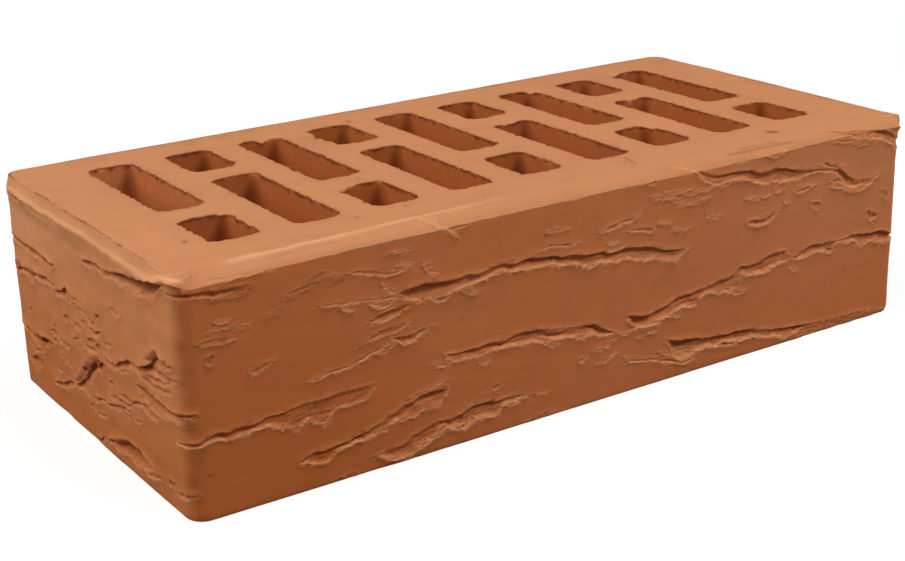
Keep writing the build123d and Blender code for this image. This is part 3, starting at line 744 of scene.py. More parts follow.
def side_relief(shape, along, below, around):
    """Five grids: how far the sides stand out and sag, how torn they are, and painted shade and highlights.
    """
    relief = [np.zeros(below.shape) for _ in range(5)]
    head_start, face_start, right_start = side_starts(shape)

    def cut_all(tears, start, first_seed, seed_step, coarse=0.0, scoop=0.0):
        for number, tear in enumerate(tears):
            cut_tear(tear, start, along, below, relief, first_seed + seed_step * number, coarse, scoop)

    rng = np.random.default_rng(17)
    for number, tear in enumerate(FACE_TEARS):
        cut_tear(tear, face_start, along, below, relief, 100 + 10 * number)
        cut_all(strata(tear, rng), face_start, 105 + 10 * number, 0)
    cut_all(FACE_SCOOPS, face_start, 3700, 20, 0.3, 0.6)
    head_tears = [
        Tear(HEAD_DEEPER * depth, rim, tuple((u, v, HEAD_WIDER * w + HEAD_MORE) for u, v, w in route))
        for depth, rim, route in HEAD_TEARS
    ]
    cut_all(head_tears, head_start, 2000, 10, 1.0)
    cut_all(HEAD_SCOOPS, head_start, 3500, 20, 0.5, 1.0)
    cut_all(scatter_tears(np.random.default_rng(41), WIDTH), right_start, 4000, 10, 0.6)

    out, sag, _, rough, _ = relief
    near_back = (along < face_start) * (1 - smooth((along - head_start + 1) / 8))
    out *= shape.relief * (1 - 0.75 * near_back)
    sag *= shape.relief
    # Slow waves, grit on the torn clay, lumps on the heads and a fine grain all over
    s = along[None, :] + 0 * below
    out += 0.16 * noise_over(s, below, 45, 26, 11, around) + 0.07 * noise_over(s, below, 14, 7, 12, around)
    on_face = smooth((s - face_start - 2) / 5) * smooth((face_start + LENGTH - 2 - s) / 5)
    grit = rough * (0.8 - 0.4 * on_face)
    out += grit * (0.24 * noise_over(s, below, 2.3, 1.1, 15) + 0.12 * noise_over(s, below, 0.9, 0.6, 16))
    on_head = smooth((along - head_start - 6) / 12) * (along < face_start + 2)
    out += on_head * 0.26 * noise_over(s, below, 7.5, 4.0, 18)
    fine = 0.03 * noise_over(s, below, 9, 1.1, 13, around)
    out += fine + 0.018 * noise_over(s, below, 2.2, 0.7, 14, around)
    return relief


# What is known of each column of the side strip: its distance along, its distances from the left ends of
# the face and of the left head, and how much it belongs to the face, to a head and to the back
Columns = namedtuple("Columns", "along from_face from_head to_face to_head to_back")


def read_columns(shape, along, normals):
    """The strip's columns, from their distances along and the outward normals there."""
    head_start, face_start, _ = side_starts(shape)
    return Columns(
        along,
        along - face_start,
        along - head_start,
        smooth((-normals[:, 1] - 0.2) / 0.7),
        smooth((np.abs(normals[:, 0]) - 0.3) / 0.6),
        smooth((normals[:, 1] - 0.3) / 0.6),
    )


def by_left_corner(columns, before, reach):
    """0 along the left head, then 1 from just before its corner with the face to well past the corner."""
    return smooth((columns.from_head - WIDTH + before) / reach) * (columns.from_head < WIDTH + 60)


def slope_arris(shape, columns):
    """How far the top arris runs in and drops at each column."""
    along, from_face, _, to_face, to_head, to_back = columns
    total = to_face + to_head + to_back
    head_drop = shape.head_drop - (shape.head_drop - 1.0) * by_left_corner(columns, 15, 11)
    run = (shape.face_run * to_face + shape.head_run * to_head + shape.back_arris * to_back) / total
    drop = (shape.face_drop * to_face + head_drop * to_head + shape.back_arris * to_back) / total
    drop += 0.45 * to_face * hump(from_face - 10, 7)
    drop += to_face * layers_along(along, 39, (0.28, 24, 0), (0.12, 3.2, 1))
    run += to_face * 0.4 * noise_along(along, 31, 41)
    return run, drop


def profile_rows(shape):
    """Rows of the side strip from the lower bed to the upper: a section's name and a share within it."""
    wall_rows = round((HEIGHT - shape.bed_arris - shape.face_drop) / shape.up_step)
    rows = [("lower_bed", k / LOWER_BED_ROWS) for k in range(LOWER_BED_ROWS)]
    rows += [("lower_arris", k / LOWER_ARRIS_ROWS) for k in range(LOWER_ARRIS_ROWS)]
    rows += [("wall", k / wall_rows) for k in range(wall_rows)]
    rows += [("upper_arris", k / UPPER_ARRIS_ROWS) for k in range(UPPER_ARRIS_ROWS)]
    rows += [("upper_bed", (k / UPPER_BED_ROWS) ** 1.8) for k in range(UPPER_BED_ROWS + 1)]
    return rows


def lay_rows(shape, rows, run, drop, to_face):
    """Grids of the plain strip: inset, height, how far it faces up, and distance below the upper bed.

    Over the arris and the bed the last one goes on below 0, so that tears can run up there.
    """
    inset, height, upward, below = (np.zeros((len(rows), len(run))) for _ in range(4))
    for i, (section, t) in enumerate(rows):
        if section == "lower_bed":
            inset[i] = BED_INSET + (shape.bed_arris - BED_INSET) * t**0.6
            below[i] = HEIGHT
        elif section == "lower_arris":
            angle = t * math.pi / 2
            inset[i] = shape.bed_arris * (1 - math.sin(angle))
            height[i] = shape.bed_arris * (1 - math.cos(angle))
            below[i] = HEIGHT - height[i]
        elif section == "wall":
            height[i] = shape.bed_arris + (HEIGHT - drop - shape.bed_arris) * t
            below[i] = HEIGHT - height[i]
        elif section == "upper_arris":
            inset[i] = run * t
            height[i] = HEIGHT - drop * (1 - t)
            upward[i] = smooth(t * 6) * run / np.hypot(run, drop)
            below[i] = drop * (1 - t) - OVER_ARRIS * to_face * t
        else:
            inset[i] = run + (BED_INSET - run) * t
            height[i] = HEIGHT
            upward[i] = 1
            below[i] = -OVER_ARRIS * to_face - (inset[i] - run) * 0.7
    return inset, height, upward, below


def raise_lip(shape, columns, below):
    """A lip that stands out of each head below its arris, dragged down unevenly: relief and painted
    highlight.
    """
    along, from_face, from_head, _, to_head, _ = columns
    lip = to_head * shape.lip * layers_along(along, 31, (0.25, 13.0, 0), (0.1, 3.0, 1), level=0.85)
    lip *= 0.3 + 0.7 * smooth((from_head - 2) / 16)
    lip *= 1 - 0.8 * hump(from_face - LENGTH - 3, 8)
    lip_edge = layers_along(along, 33, (0.7, 17.0, 0), (0.25, 4.0, 1), level=3.9)
    at_corner = by_left_corner(columns, 14, 9)
    lip_edge += (1.3 - lip_edge) * at_corner
    rise = smooth(np.clip(below / lip_edge, 0, 1) * 0.62) / 0.7
    rise = rise * (1 - smooth((below - lip_edge) / (6.0 - 4.6 * at_corner)))
    drag = 1 + 0.12 * noise_over(along[None, :] + 0 * below, below, 22.0, 0.8, 35)
    # Painted highlight on the lip's ridge and a lighter band above it
    lip_highlight = 1.2 * hump(below - lip_edge + 0.2, 0.7) + 0.55 * (below < lip_edge)
    return lip * rise * drag, to_head * lip_highlight


def crease_head(columns, inset, run, on_top):
    """A broken crease where the arris of a head meets the bed: a shallow groove that is also painted as
    shade.
    """
    along, _, from_head, _, to_head, _ = columns
    crease = to_head * hump(inset - run - 0.4 - 0.15 * noise_along(along, 5.0, 37), 0.3)
    crease *= on_top * (inset > run) * np.clip(0.6 + 0.9 * noise_along(along, 2.4, 36), 0.1, 1)
    crease *= 1 - smooth((from_head - WIDTH + 24) / 12) * (from_head < WIDTH + 20)
    return crease


def mark_knife(shape, columns, inset, run):
    """The ridge that the dressing knife left where the face arris meets the bed, and a painted highlight
    along it.
    """
    along, from_face, _, to_face, _, _ = columns
    knife = to_face * smooth((from_face - 8) / 10) * smooth((125 - from_face) / 85)
    knife *= np.clip(0.75 + 0.45 * noise_along(along, 14.0, 42), 0, 1.1)
    sway = layers_along(along, 38, (0.7, 26.0, 0), (0.2, 5.0, 5), level=run - shape.face_run)
    ridge = 0.35 * knife * hump(inset - 6.0 - sway, 0.9)
    ridge -= 0.12 * knife * hump(inset - 3.0 - 1.4 * sway, 0.5)
    # Painted highlight along the ridge and beside the groove
    streak = 1.3 * knife * hump(inset - 6.2 - sway, 0.95 + 0.35 * noise_along(along, 9.0, 44))
    streak += 0.25 * knife * hump(inset - 3.6 - 1.4 * sway, 0.4)
    return ridge, streak


def build_sides(shape):
    """The strip round the brick: its points as rows by columns, and the marks of each."""
    outer, normals, along, around = perimeter(shape, 0.0, shape.corner)
    inner, _, _, _ = perimeter(shape, BED_INSET, INNER_RADIUS)
    columns = read_columns(shape, along, normals)
    run, drop = slope_arris(shape, columns)
    rows = profile_rows(shape)
    inset, height, upward, below = lay_rows(shape, rows, run, drop, columns.to_face)
    on_top = height > HEIGHT / 2
    share = inset / BED_INSET
    points = np.zeros(inset.shape + (3,))
    points[..., :2] = outer + (inner - outer) * share[..., None]
    points[..., 2] = height

    # The back is plainer, and the relief fades out over the beds
    out, sag, hollow_shade, rough, pale = side_relief(shape, along, below, around)
    out *= 1 - 0.5 * columns.to_back
    upper_bed, lower_bed = (
        np.array([section == name for section, _ in rows])[:, None] for name in ("upper_bed", "lower_bed")
    )
    fade = np.where(upper_bed, np.exp(-(inset - run) / 1.5), 1.0)
    fade = np.where(lower_bed, np.exp(-np.maximum(inset - shape.bed_arris, 0) / 0.8), fade)
    out, sag = out * fade, sag * fade

    lip, lip_highlight = raise_lip(shape, columns, below)
    crease = crease_head(columns, inset, run, on_top)
    ridge, streak = mark_knife(shape, columns, inset, run)
    out += lip
    sideways = np.sqrt(1 - np.minimum(upward, 1) ** 2)
    points[..., :2] += (out[..., None] * normals) * sideways[..., None]
    points[..., 2] += out * upward * on_top + ridge * on_top - 0.6 * crease
    points[..., 2] -= sag * sideways

    # The far corner of the face is drawn out and hangs a little
    drawn = hump(columns.from_face - LENGTH - 1.5, 6) * on_top
    tongue = 2.4 * drawn * (1 - smooth((below - 1.5) / 3.4)) * sideways
    points[..., :2] += tongue[..., None] * normals
    points[..., 2] -= 0.5 * drawn * (1 - share) ** 8
    points[..., 2] += bed_height(points[..., 0], points[..., 1]) * smooth(upward * 1.4) * on_top
    points[..., 2] = np.maximum(points[..., 2], 0)

    # Painted shade in the heads' creases and in the bed's pits and scratches
    dark = np.maximum(crease, bed_dark(points[..., 0], points[..., 1]) * (upward > 0.9) * on_top)
    # Painted highlights on the heads' lips and along the knife's streak
    pale = np.maximum(pale, lip_highlight * on_top * (inset < run + 0.3))
    pale = np.maximum(pale, streak * (upward > 0.1) * on_top)
    return points, np.stack((hollow_shade, rough, 0 * rough, dark, pale), axis=-1)


def slot_places(shape):
    """Centre and length of every slot, column by column from the left head."""
    columns = round((LENGTH - 2 * shape.head_shell + shape.rib) / (shape.slot_width + shape.rib))
    pitch = shape.slot_width + shape.rib
    front, back = -WIDTH / 2 + shape.face_shell, WIDTH / 2 - shape.back_shell
    lengths = (back - front - shape.web - shape.short_slot, shape.short_slot)
    places = []
    for column in range(columns):
        x = (column - (columns - 1) / 2) * pitch
        at_back, at_front = lengths if column % 2 == 0 else lengths[::-1]
        places.append((x, back - at_back / 2, at_back))
        places.append((x, front + at_front / 2, at_front))
    return places


def slot_loop(shape, x, y, length):
    """Points and outward normals round one slot, counter-clockwise."""
    half_x, half_y, r = shape.slot_width / 2, length / 2, shape.slot_corner
    corners = ((1, 1, 0), (-1, 1, 90), (-1, -1, 180), (1, -1, 270))
    centres = [np.array((x + sx * (half_x - r), y + sy * (half_y - r))) for sx, sy, _ in corners]
    points, normals = [], []
    for number, (_, _, first) in enumerate(corners):
        for k in range(RIM_ARC_STEPS):
            direction = heading(first + 90 * k / RIM_ARC_STEPS)
            points.append(centres[number] + r * direction)
            normals.append(direction)
        direction = heading(first + 90)
        start = centres[number] + r * direction
        end = centres[(number + 1) % 4] + r * direction
        steps = max(2, round(np.linalg.norm(end - start) / RIM_STEP))
        for k in range(steps):
            points.append(start + (end - start) * k / steps)
            normals.append(direction)
    return np.array(points), np.array(normals)


def build_slot(shape, number, place):
    """One slot as rows by columns, from a collar on the upper bed down to one on the lower bed."""
    loop, normals = slot_loop(shape, *place)
    s = np.concatenate(([0], np.cumsum(np.linalg.norm(np.diff(loop, axis=0), axis=1))))
    length = s[-1] + np.linalg.norm(loop[0] - loop[-1])
    half = HEIGHT / 2
    upper = list(RIM_ROWS) + [(0.0, depth) for depth in WALL_DEPTHS if depth < half]
    rows = upper + [(0.0, half)] + [(offset, HEIGHT - drop) for offset, drop in reversed(upper)]
    seed = 7000 + 20 * number
    grains = round(length / RIM_GRAIN)

    # How the rim frays, how far painted shade reaches down it, and how the wire dragged clay down the wall
    def fray(grain, own):
        return noise_over(s, 0 * s, grain, 1, seed + own)

    ragged = noise_over(s / length * grains * RIM_GRAIN, 0 * s, RIM_GRAIN, 1, seed, around=grains * RIM_GRAIN)
    ragged = 0.32 * ragged + 0.24 * fray(0.65, 1) + 1.7 * np.maximum(0, fray(1.3, 9) - 0.35)
    streak = 0.05 * fray(1.1, 2) + 0.08 * fray(5.0, 3)
    burr = np.maximum(0, fray(1.1, 4)) ** 2
    dark_edge = layers_along(s, seed, (0.22, 0.9, 6), (0.3, 2.6, 7), level=0.5)
    points = np.zeros((len(rows), len(loop), 3))
    marks = np.zeros((len(rows), len(loop), len(MARKS)))
    for i, (offset, drop) in enumerate(rows):
        to_bed = min(drop, HEIGHT - drop)
        near = math.exp(-to_bed / 0.55) * math.exp(-offset / 0.9)
        deep = 1 - math.exp(-to_bed / 1.5)
        scale = 0.09 * noise_over(s, 0 * s + drop, 1.6, 2.6, seed + 5)
        push = offset + near * ragged + deep * (streak + scale)
        points[i, :, :2] = loop + normals * push[:, None]
        points[i, :, 2] = HEIGHT - drop
        if drop < half:
            points[i, :, 2] += 0.1 * burr * math.exp(-(((offset - 0.25) / 0.35) ** 2)) * math.exp(-drop / 0.3)
        marks[i, :, INSIDE_SLOT] = smooth(to_bed / 0.5)
        # Painted shade along the edge of the rim
        marks[i, :, SHADE_MARK] = (1 - smooth((to_bed - dark_edge + 0.1) / 0.45)) * math.exp(-offset / 0.22)

    crumble = 1 + 0.4 * noise_over(points[..., 0], points[..., 1], 0.9, 0.9, seed + 8)
    within_collar = np.arange(len(rows))[:, None] > 0
    for cx, cy, reach, depth in RIM_CHIPS:
        share = hump(np.hypot(points[..., 0] - cx, points[..., 1] - cy), reach)
        share = share * smooth((points[..., 2] - HEIGHT + 3) / 3)
        points[..., 2] -= np.where(within_collar, depth * share * crumble, 0)
    return points, marks


def by_scratch(x, y, scratch):
    """How far along a scratch each place lies, from 0 to 1, and its distance from the scratch."""
    x0, y0, x1, y1, _ = scratch
    run = np.array((x1 - x0, y1 - y0))
    t = np.clip(((x - x0) * run[0] + (y - y0) * run[1]) / (run @ run), 0, 1)
    return t, np.hypot(x - x0 - t * run[0], y - y0 - t * run[1])


def bed_dark(x, y):
    """Painted shade of the bed in a pit or a scratch: how much darker it is there."""
    dark = 0 * x
    for cx, cy, size, _ in BED_PITS:
        dark = np.maximum(dark, np.exp(-((np.hypot(x - cx, y - cy) / size * 1.5) ** 4)))
    for scratch in BED_SCRATCHES:
        _, distance = by_scratch(x, y, scratch)
        dark = np.maximum(dark, 1.6 * scratch[-1] * hump(distance, 0.35))
    return dark


def bed_height(x, y):
    """Rise and fall of a wire-cut bed: faint waves, pits and scratches."""
    rise = 0.05 * noise_over(x + 200, y + 200, 22, 17, 51) + 0.02 * noise_over(x + 200, y + 200, 5, 4, 52)
    for cx, cy, size, depth in BED_PITS:
        rise -= depth * np.exp(-((np.hypot(x - cx, y - cy) / size * 1.4) ** 4))
    for scratch in BED_SCRATCHES:
        t, distance = by_scratch(x, y, scratch)
        rise -= scratch[-1] * hump(distance, 0.42) * np.sin(math.pi * np.clip(t, 0.02, 0.98)) ** 0.4
    return rise


def crumbly(points, torn, crack):
    """How thickly crumbs lie at each point: most on torn clay, in patches, and none on plain skin."""
    x, y, z = points.T
    patches = noise_over(x + 300, z + y + 300, 4.5, 2.5, 71)
    on_head = smooth((np.abs(x) - LENGTH / 2 + 3) / 2)
    on_rim = 0.35 * np.clip(crack - 0.3, 0, 1) * (z > HEIGHT - 1.5)
    strewn = np.clip(patches - 0.18 + 0.15 * on_head, 0, 1) * (torn - 0.5) * 2 * (z > 1.5)
    return np.where(torn > 0.5, strewn, on_rim)


class MeshParts:
    """Collects points, marks and faces of one mesh."""

    def __init__(self):
        self.points, self.faces, self.marks = [], [], []
        self.count = 0

    def add(self, points, marks):
        """Adds points with their marks, and returns the number of the first."""
        first = self.count
        self.points.append(points.reshape(-1, 3))
        self.marks.append(marks.reshape(-1, len(MARKS)))
        self.count += len(self.points[-1])
        return first

    def add_grid(self, points, marks):
        """Adds a strip that closes on itself along its columns, and returns its first and last rows."""
        rows, columns = points.shape[:2]
        number = self.add(points, marks) + np.arange(rows * columns).reshape(rows, columns)
        right = np.roll(number, -1, axis=1)
        self.faces.append(np.stack((number[:-1], right[:-1], right[1:], number[1:]), axis=-1).reshape(-1, 4))
        return number[0], number[-1]

    def marked(self):
        """Numbers of the points whose colour would be lost if the mesh were thinned there."""
        hollow_shade, torn, _, crack, worn = np.concatenate(self.marks).T
        flat = torn < 0.02
        return np.flatnonzero((flat & ((hollow_shade > 0.15) | (worn > 0.25))) | (crack > 0.2)).tolist()

    def mesh(self, name):
        """The mesh of it all, in metres."""
        made = bpy.data.meshes.new(name)
        faces = [face for block in self.faces for face in block.tolist()]
        points = np.concatenate(self.points) * MM
        made.from_pydata(points.tolist(), [], faces)
        marks = np.concatenate(self.marks)
        strewn = crumbly(points / MM, marks[:, MARKS.index("torn")], marks[:, SHADE_MARK])
        for label, values in zip((*MARKS, "crumbly"), (*marks.T, strewn)):
            layer = made.attributes.new(label, "FLOAT", "POINT")
            layer.data.foreach_set("value", values.astype(np.float32))
        return made


def bed_points(low, high, slot_boxes, facing_up):
    """Places inside the side strip and clear of the slots, closer in the upper bed's pits and scratches."""
    rng = np.random.default_rng(61)
    xs, ys = np.meshgrid(np.arange(low[0], high[0], BED_STEP), np.arange(low[1], high[1], BED_STEP))
    inner = np.stack((xs.ravel(), ys.ravel()), axis=1) + rng.uniform(-0.3, 0.3, (xs.size, 2)) * BED_STEP
    if facing_up:
        extra = []
        for cx, cy, size, _ in BED_PITS:
            extra.append(rng.uniform(-size, size, (PIT_POINTS, 2)) + (cx, cy))
        for x0, y0, x1, y1, _ in BED_SCRATCHES:
            t = rng.uniform(0, 1, (SCRATCH_POINTS, 1))
            on_line = np.array((x0, y0)) + t * np.array((x1 - x0, y1 - y0))
            extra.append(on_line + rng.normal(0, 0.35, (SCRATCH_POINTS, 2)))
        inner = np.concatenate([inner] + extra)
    room = np.array((LENGTH / 2 - BED_INSET - 0.5, WIDTH / 2 - BED_INSET - 0.5))
    keep = (np.abs(inner) < room).all(axis=1)
    for lo, hi in slot_boxes:
        keep &= ~((inner > lo - 0.5) & (inner < hi + 0.5)).all(axis=1)
    return inner[keep]


def fill_bed(parts, outer, rings, level, facing_up):
    """Triangles between the side strip and the collars of the slots on one bed."""
    plan = np.concatenate(parts.points)[:, :2]
    loops = [outer, *rings]
    corners = np.concatenate(loops)
    edges, owner, first = [], [], 0
    for number, loop in enumerate(loops):
        edges += [(first + k, first + (k + 1) % len(loop)) for k in range(len(loop))]
        owner += [number] * len(loop)
        first += len(loop)
    flat = plan[corners]
    slot_boxes = [(plan[ring].min(0), plan[ring].max(0)) for ring in rings]
    inner = bed_points(flat.min(0) + BED_STEP, flat.max(0) - BED_STEP, slot_boxes, facing_up)

    # The triangles that lie inside one slot's ring are left out
    places = np.concatenate((flat, inner))
    made = delaunay_2d_cdt([Vector(place) for place in places.tolist()], edges, [], 0, 1e-5)
    original = np.array([group[0] for group in made[3]])
    triangles = original[np.array(made[2])]
    of_triangle = np.array(owner + [-1] * len(inner))[triangles]
    in_slot = (of_triangle[:, 0] > 0) & (of_triangle == of_triangle[:, :1]).all(axis=1)
    triangles = triangles[~in_slot]

    lift = 0 * inner[:, 0]
    marks = np.zeros((len(inner), len(MARKS)))
    if facing_up:
        lift = bed_height(inner[:, 0], inner[:, 1])
        marks[:, SHADE_MARK] = bed_dark(inner[:, 0], inner[:, 1])
    first_inner = parts.add(np.column_stack((inner, level + lift)), marks)
    faces = np.concatenate((corners, first_inner + np.arange(len(inner))))[triangles]
    sides = places[triangles]
    area = np.cross(sides[:, 1] - sides[:, 0], sides[:, 2] - sides[:, 0])
    turned = (area < 0) if facing_up else (area > 0)
    faces[turned] = faces[turned][:, ::-1]
    parts.faces.append(faces)


class Value:
    """A socket of a node tree that can be used as a number in Python."""

    def __init__(self, tree, socket):
        self.tree, self.socket = tree, socket

    def maths(self, operation, *values):
        return self.tree.node("ShaderNodeMath", {"operation": operation}, dict(enumerate(values)))

    def __add__(self, other):
        return self.maths("ADD", self, other)

    __radd__ = __add__

    def __sub__(self, other):
        return self.maths("SUBTRACT", self, other)

    def __rsub__(self, other):
        return self.maths("SUBTRACT", other, self)

    def __mul__(self, other):
        return self.maths("MULTIPLY", self, other)

    __rmul__ = __mul__

    def __truediv__(self, other):
        return self.maths("DIVIDE", self, other)

    def __pow__(self, other):
        return self.maths("POWER", self, other)

    def absolute(self):
        return self.maths("ABSOLUTE", self)

    def ramp(self, low, high):
        """0 below low and 1 above high, smooth between."""
        limits = {"Value": self, "From Min": low, "From Max": high}
        return self.tree.node("ShaderNodeMapRange", {"interpolation_type": "SMOOTHSTEP"}, limits)


class Tree:
    """A node tree, for a material or for geometry."""

    def __init__(self, node_tree):
        self.nodes, self.links = node_tree.nodes, node_tree.links
        self.nodes.clear()

    def node(self, kind, settings=None, inputs=None, output=0):
        """A new node with its settings, then its inputs as values or links. Gives one of its outputs."""
        made = self.nodes.new(kind)
        for name, value in (settings or {}).items():
            setattr(made, name, value)
        for name, value in (inputs or {}).items():
            if isinstance(value, Value):
                self.links.new(value.socket, made.inputs[name])
            else:
                made.inputs[name].default_value = value
        return Value(self, made.outputs[output]) if len(made.outputs) else None

    def mix(self, share, first, second):
        """A colour between two colours."""
        return self.node("ShaderNodeMix", {"data_type": "RGBA"}, {0: share, 6: first, 7: second}, output=2)

    def noise(self, place, scale, detail):
        """Noise between 0 and 1 at a place."""
        return self.node("ShaderNodeTexNoise", inputs={"Vector": place, "Scale": scale, "Detail": detail})


def new_material(name):
    """A material that is made of nodes."""
    material = bpy.data.materials.new(name)
    material.use_nodes = True
    return material


class ClayTree(Tree):
    """Fired clay: paler on the wire-cut beds, deeper on the dressed skin, with painted shade deep in the
    tears.
    """

    def __init__(self, node_tree, looks):
        super().__init__(node_tree)
        self.looks = looks
        self.place = self.node("ShaderNodeTexCoord", output="Object")
        parts = self.node("ShaderNodeSeparateXYZ", inputs={0: self.place}).socket.node
        self.metres = [Value(self, parts.outputs[k]) for k in range(3)]
        self.x, self.y, self.z = (value / MM for value in self.metres)
        self.hollow_shade, self.torn, self.inside_slot, self.crack, self.worn = (
            self.node("ShaderNodeAttribute", {"attribute_name": name}, output="Fac") for name in MARKS
        )
        self.face = 1 - self.y.ramp(FRONT + 0.6, FRONT + 3.5)
        self.head = self.x.absolute().ramp(LENGTH / 2 - 4.5, LENGTH / 2 - 0.8)
        self.side = self.dressed_side()
        self.cloud = self.spots(14, 3.0)
        self.specks = self.spots(1100, 2.0).ramp(0.54, 0.66) * self.torn
        # Chips break up the painted shade of creases, pits, scratches and slot rims
        self.chips = self.spots(1500, 1.0).ramp(0.56, 0.64) * self.crack

    def spots(self, scale, detail):
        """Noise fixed to the brick."""
        return self.noise(self.place, scale, detail)

    def dressed_side(self):
        """Where the skin is dressed. It ends in a drifting line below the upper bed."""
        by_face = 1 - self.y.ramp(FRONT + 2.5, FRONT + 9)
        by_left = 1 - self.x.ramp(LEFT + 0.3, LEFT + 5)
        by_corner = by_left * (1 - self.y.ramp(FRONT + 3, FRONT + 14))
        past_corner = (1 - by_left) * by_face * (1 - self.x.ramp(LEFT + 13, LEFT + 26))
        drift = (self.spots(60, 2.0) - 0.5) * 1.4 + (self.spots(420, 2.0) - 0.5) * 0.9
        edge_height = self.z - by_face * 1.7 - by_corner * 1.0 + past_corner * 0.4 + drift
        return 1 - edge_height.ramp(HEIGHT - 5.0, HEIGHT - 4.1)

    def skin(self):
        """The bed and the dressed sides, with clouds, specks, a tint on the arris band, painted sheen and
        painted shade.
        """
        face, head, side = self.face, self.head, self.side
        looks = self.looks
        colour = self.mix(side, (*looks.bed, 1), self.mix(face, (*looks.head, 1), (*looks.face, 1)))
        colour = self.mix(self.cloud.ramp(0.35, 0.75) * 0.22, colour, self.mix(0.5, colour, PALE_CLOUD))
        # Painted sheen on the upper right of the face
        face_sheen = face * self.x.ramp(10, 110) * self.z.ramp(8, 58)
        # Painted sheen on the upper back of each head
        head_sheen = head * self.y.ramp(-15, 45) * self.z.ramp(30, 58)
        # Painted shade towards the bottom of the dressed sides, weaker towards the face's right
        low = (1 - self.z.ramp(4.0, 55.0)) * side * (0.9 - face * self.x.ramp(-110, 0) * 0.7)
        # Painted shade at the left end of the face
        left_shade = face * side * (1 - self.x.ramp(-125, -20))
        for share, tint in (
            (self.spots(900, 2.0).ramp(0.58, 0.8) * 0.10, DARK_SPECK),
            (self.spots(110, 3.0).ramp(0.5, 0.7) * 0.16, MOTTLE),
            (face * (1 - side) * 0.3, SLOPE),
            (face_sheen * side * 0.8, PAINTED_FACE_SHEEN),
            (head_sheen * side * 0.9, PAINTED_HEAD_SHEEN),
            (low, self.mix(face, PAINTED_LOW_SHADE_HEAD, PAINTED_LOW_SHADE_FACE)),
            (left_shade * 0.5, PAINTED_LEFT_SHADE),
        ):
            colour = self.mix(share, colour, tint)
        return colour

    def with_tears(self, colour):
        """Torn clay, painted highlights on the rims and painted shade deep in the tears."""
        # Torn clay of the face, darker towards the left end as painted shade
        torn_face = self.mix(self.x.ramp(-90, 0), TORN_LEFT_SHADED, TORN_RIGHT)
        torn_clay = self.mix(self.head, torn_face, TORN_HEAD)
        colour = self.mix(self.torn * (0.6 - self.head * 0.1), colour, torn_clay)
        # Colours of the painted highlights on rims, lips and the knife's streak
        pale = self.mix(self.side, self.mix(self.head, PAINTED_HIGHLIGHT_BED, PAINTED_HIGHLIGHT_HEAD_BED), PAINTED_HIGHLIGHT_SIDE)
        colour = self.mix(self.worn * 0.74, colour, pale)
        return self.mix(self.hollow_shade * (0.36 + self.head * 0.64), colour, (*self.looks.hollow_shade, 1))

    def with_slots(self, colour):
        """Slot walls with painted light: lighter away from the beds, and lighter in the first slot at the
        back.
        """
        # Painted light away from the beds, against the shade deep in a slot
        near_bed = (self.z - HEIGHT / 2).absolute().ramp(HEIGHT / 2 - 14, HEIGHT / 2 - 3)
        # Painted light on the first slot's wall
        first_wall_light = (1 - self.x.ramp(-97, -83)) * self.y.ramp(-15, -5)
        wall = self.mix(first_wall_light * 0.65, self.mix(near_bed, DEEP_WALL_PAINTED_LIGHT, HIGH_WALL), FIRST_WALL_PAINTED_LIGHT)
        return self.mix(self.inside_slot * 0.95, colour, wall)

    def with_flecks(self, colour):
        """Specks in the torn clay, and painted shade in creases, pits, scratches and along the slot rims."""
        colour = self.mix(self.specks * (0.1 + 0.08 * self.head), colour, (*self.looks.hollow_shade, 1))
        return self.mix(self.crack * 0.85 + self.chips * 0.15, colour, PAINTED_SHADE_TINT)

    def bump(self):
        """A fine grain all over, and strands drawn out along the tears."""
        x, y, z = self.metres
        grain = self.spots(2600, 2.0) * 0.35 + self.spots(700, 3.0) * 0.65
        lean = z - x * 0.1 + (self.spots(35, 1.0) - 0.5) * 0.004
        drawn_out = self.node("ShaderNodeCombineXYZ", inputs={"X": x * 0.14, "Y": y * 0.14, "Z": lean})
        strands = self.noise(drawn_out, 1500.0, 2.0) * self.torn * (8.0 - self.head * 4.0)
        relief = grain * (0.6 + self.torn * 2.0) + strands - self.specks * 1.5 - self.chips * 3.0
        height = {"Height": relief, "Distance": self.looks.grain * MM, "Strength": 1.0}
        return self.node("ShaderNodeBump", inputs=height)


def clay_material(looks):
    """The material of the brick and its crumbs."""
    material = new_material("fired_clay")
    tree = ClayTree(material.node_tree, looks)
    surface = {
        "Base Color": tree.with_flecks(tree.with_slots(tree.with_tears(tree.skin()))),
        "Roughness": looks.roughness + (tree.cloud - 0.5) * 0.08,
        "Specular IOR Level": 0.12,
        "Normal": tree.bump(),
    }
    shader = tree.node("ShaderNodeBsdfPrincipled", inputs=surface)
    tree.node("ShaderNodeOutputMaterial", inputs={"Surface": shader})
    return material


def place_piece(mesh, name, material):
    """A piece in the scene that rides on the brick's body."""
    piece = bpy.data.objects.new(name, mesh)
    bpy.context.scene.collection.objects.link(piece)
    mesh.materials.clear()
    mesh.materials.append(material)
    mesh.polygons.foreach_set("use_smooth", np.ones(len(mesh.polygons), bool))
    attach(piece, BODY)
    return piece


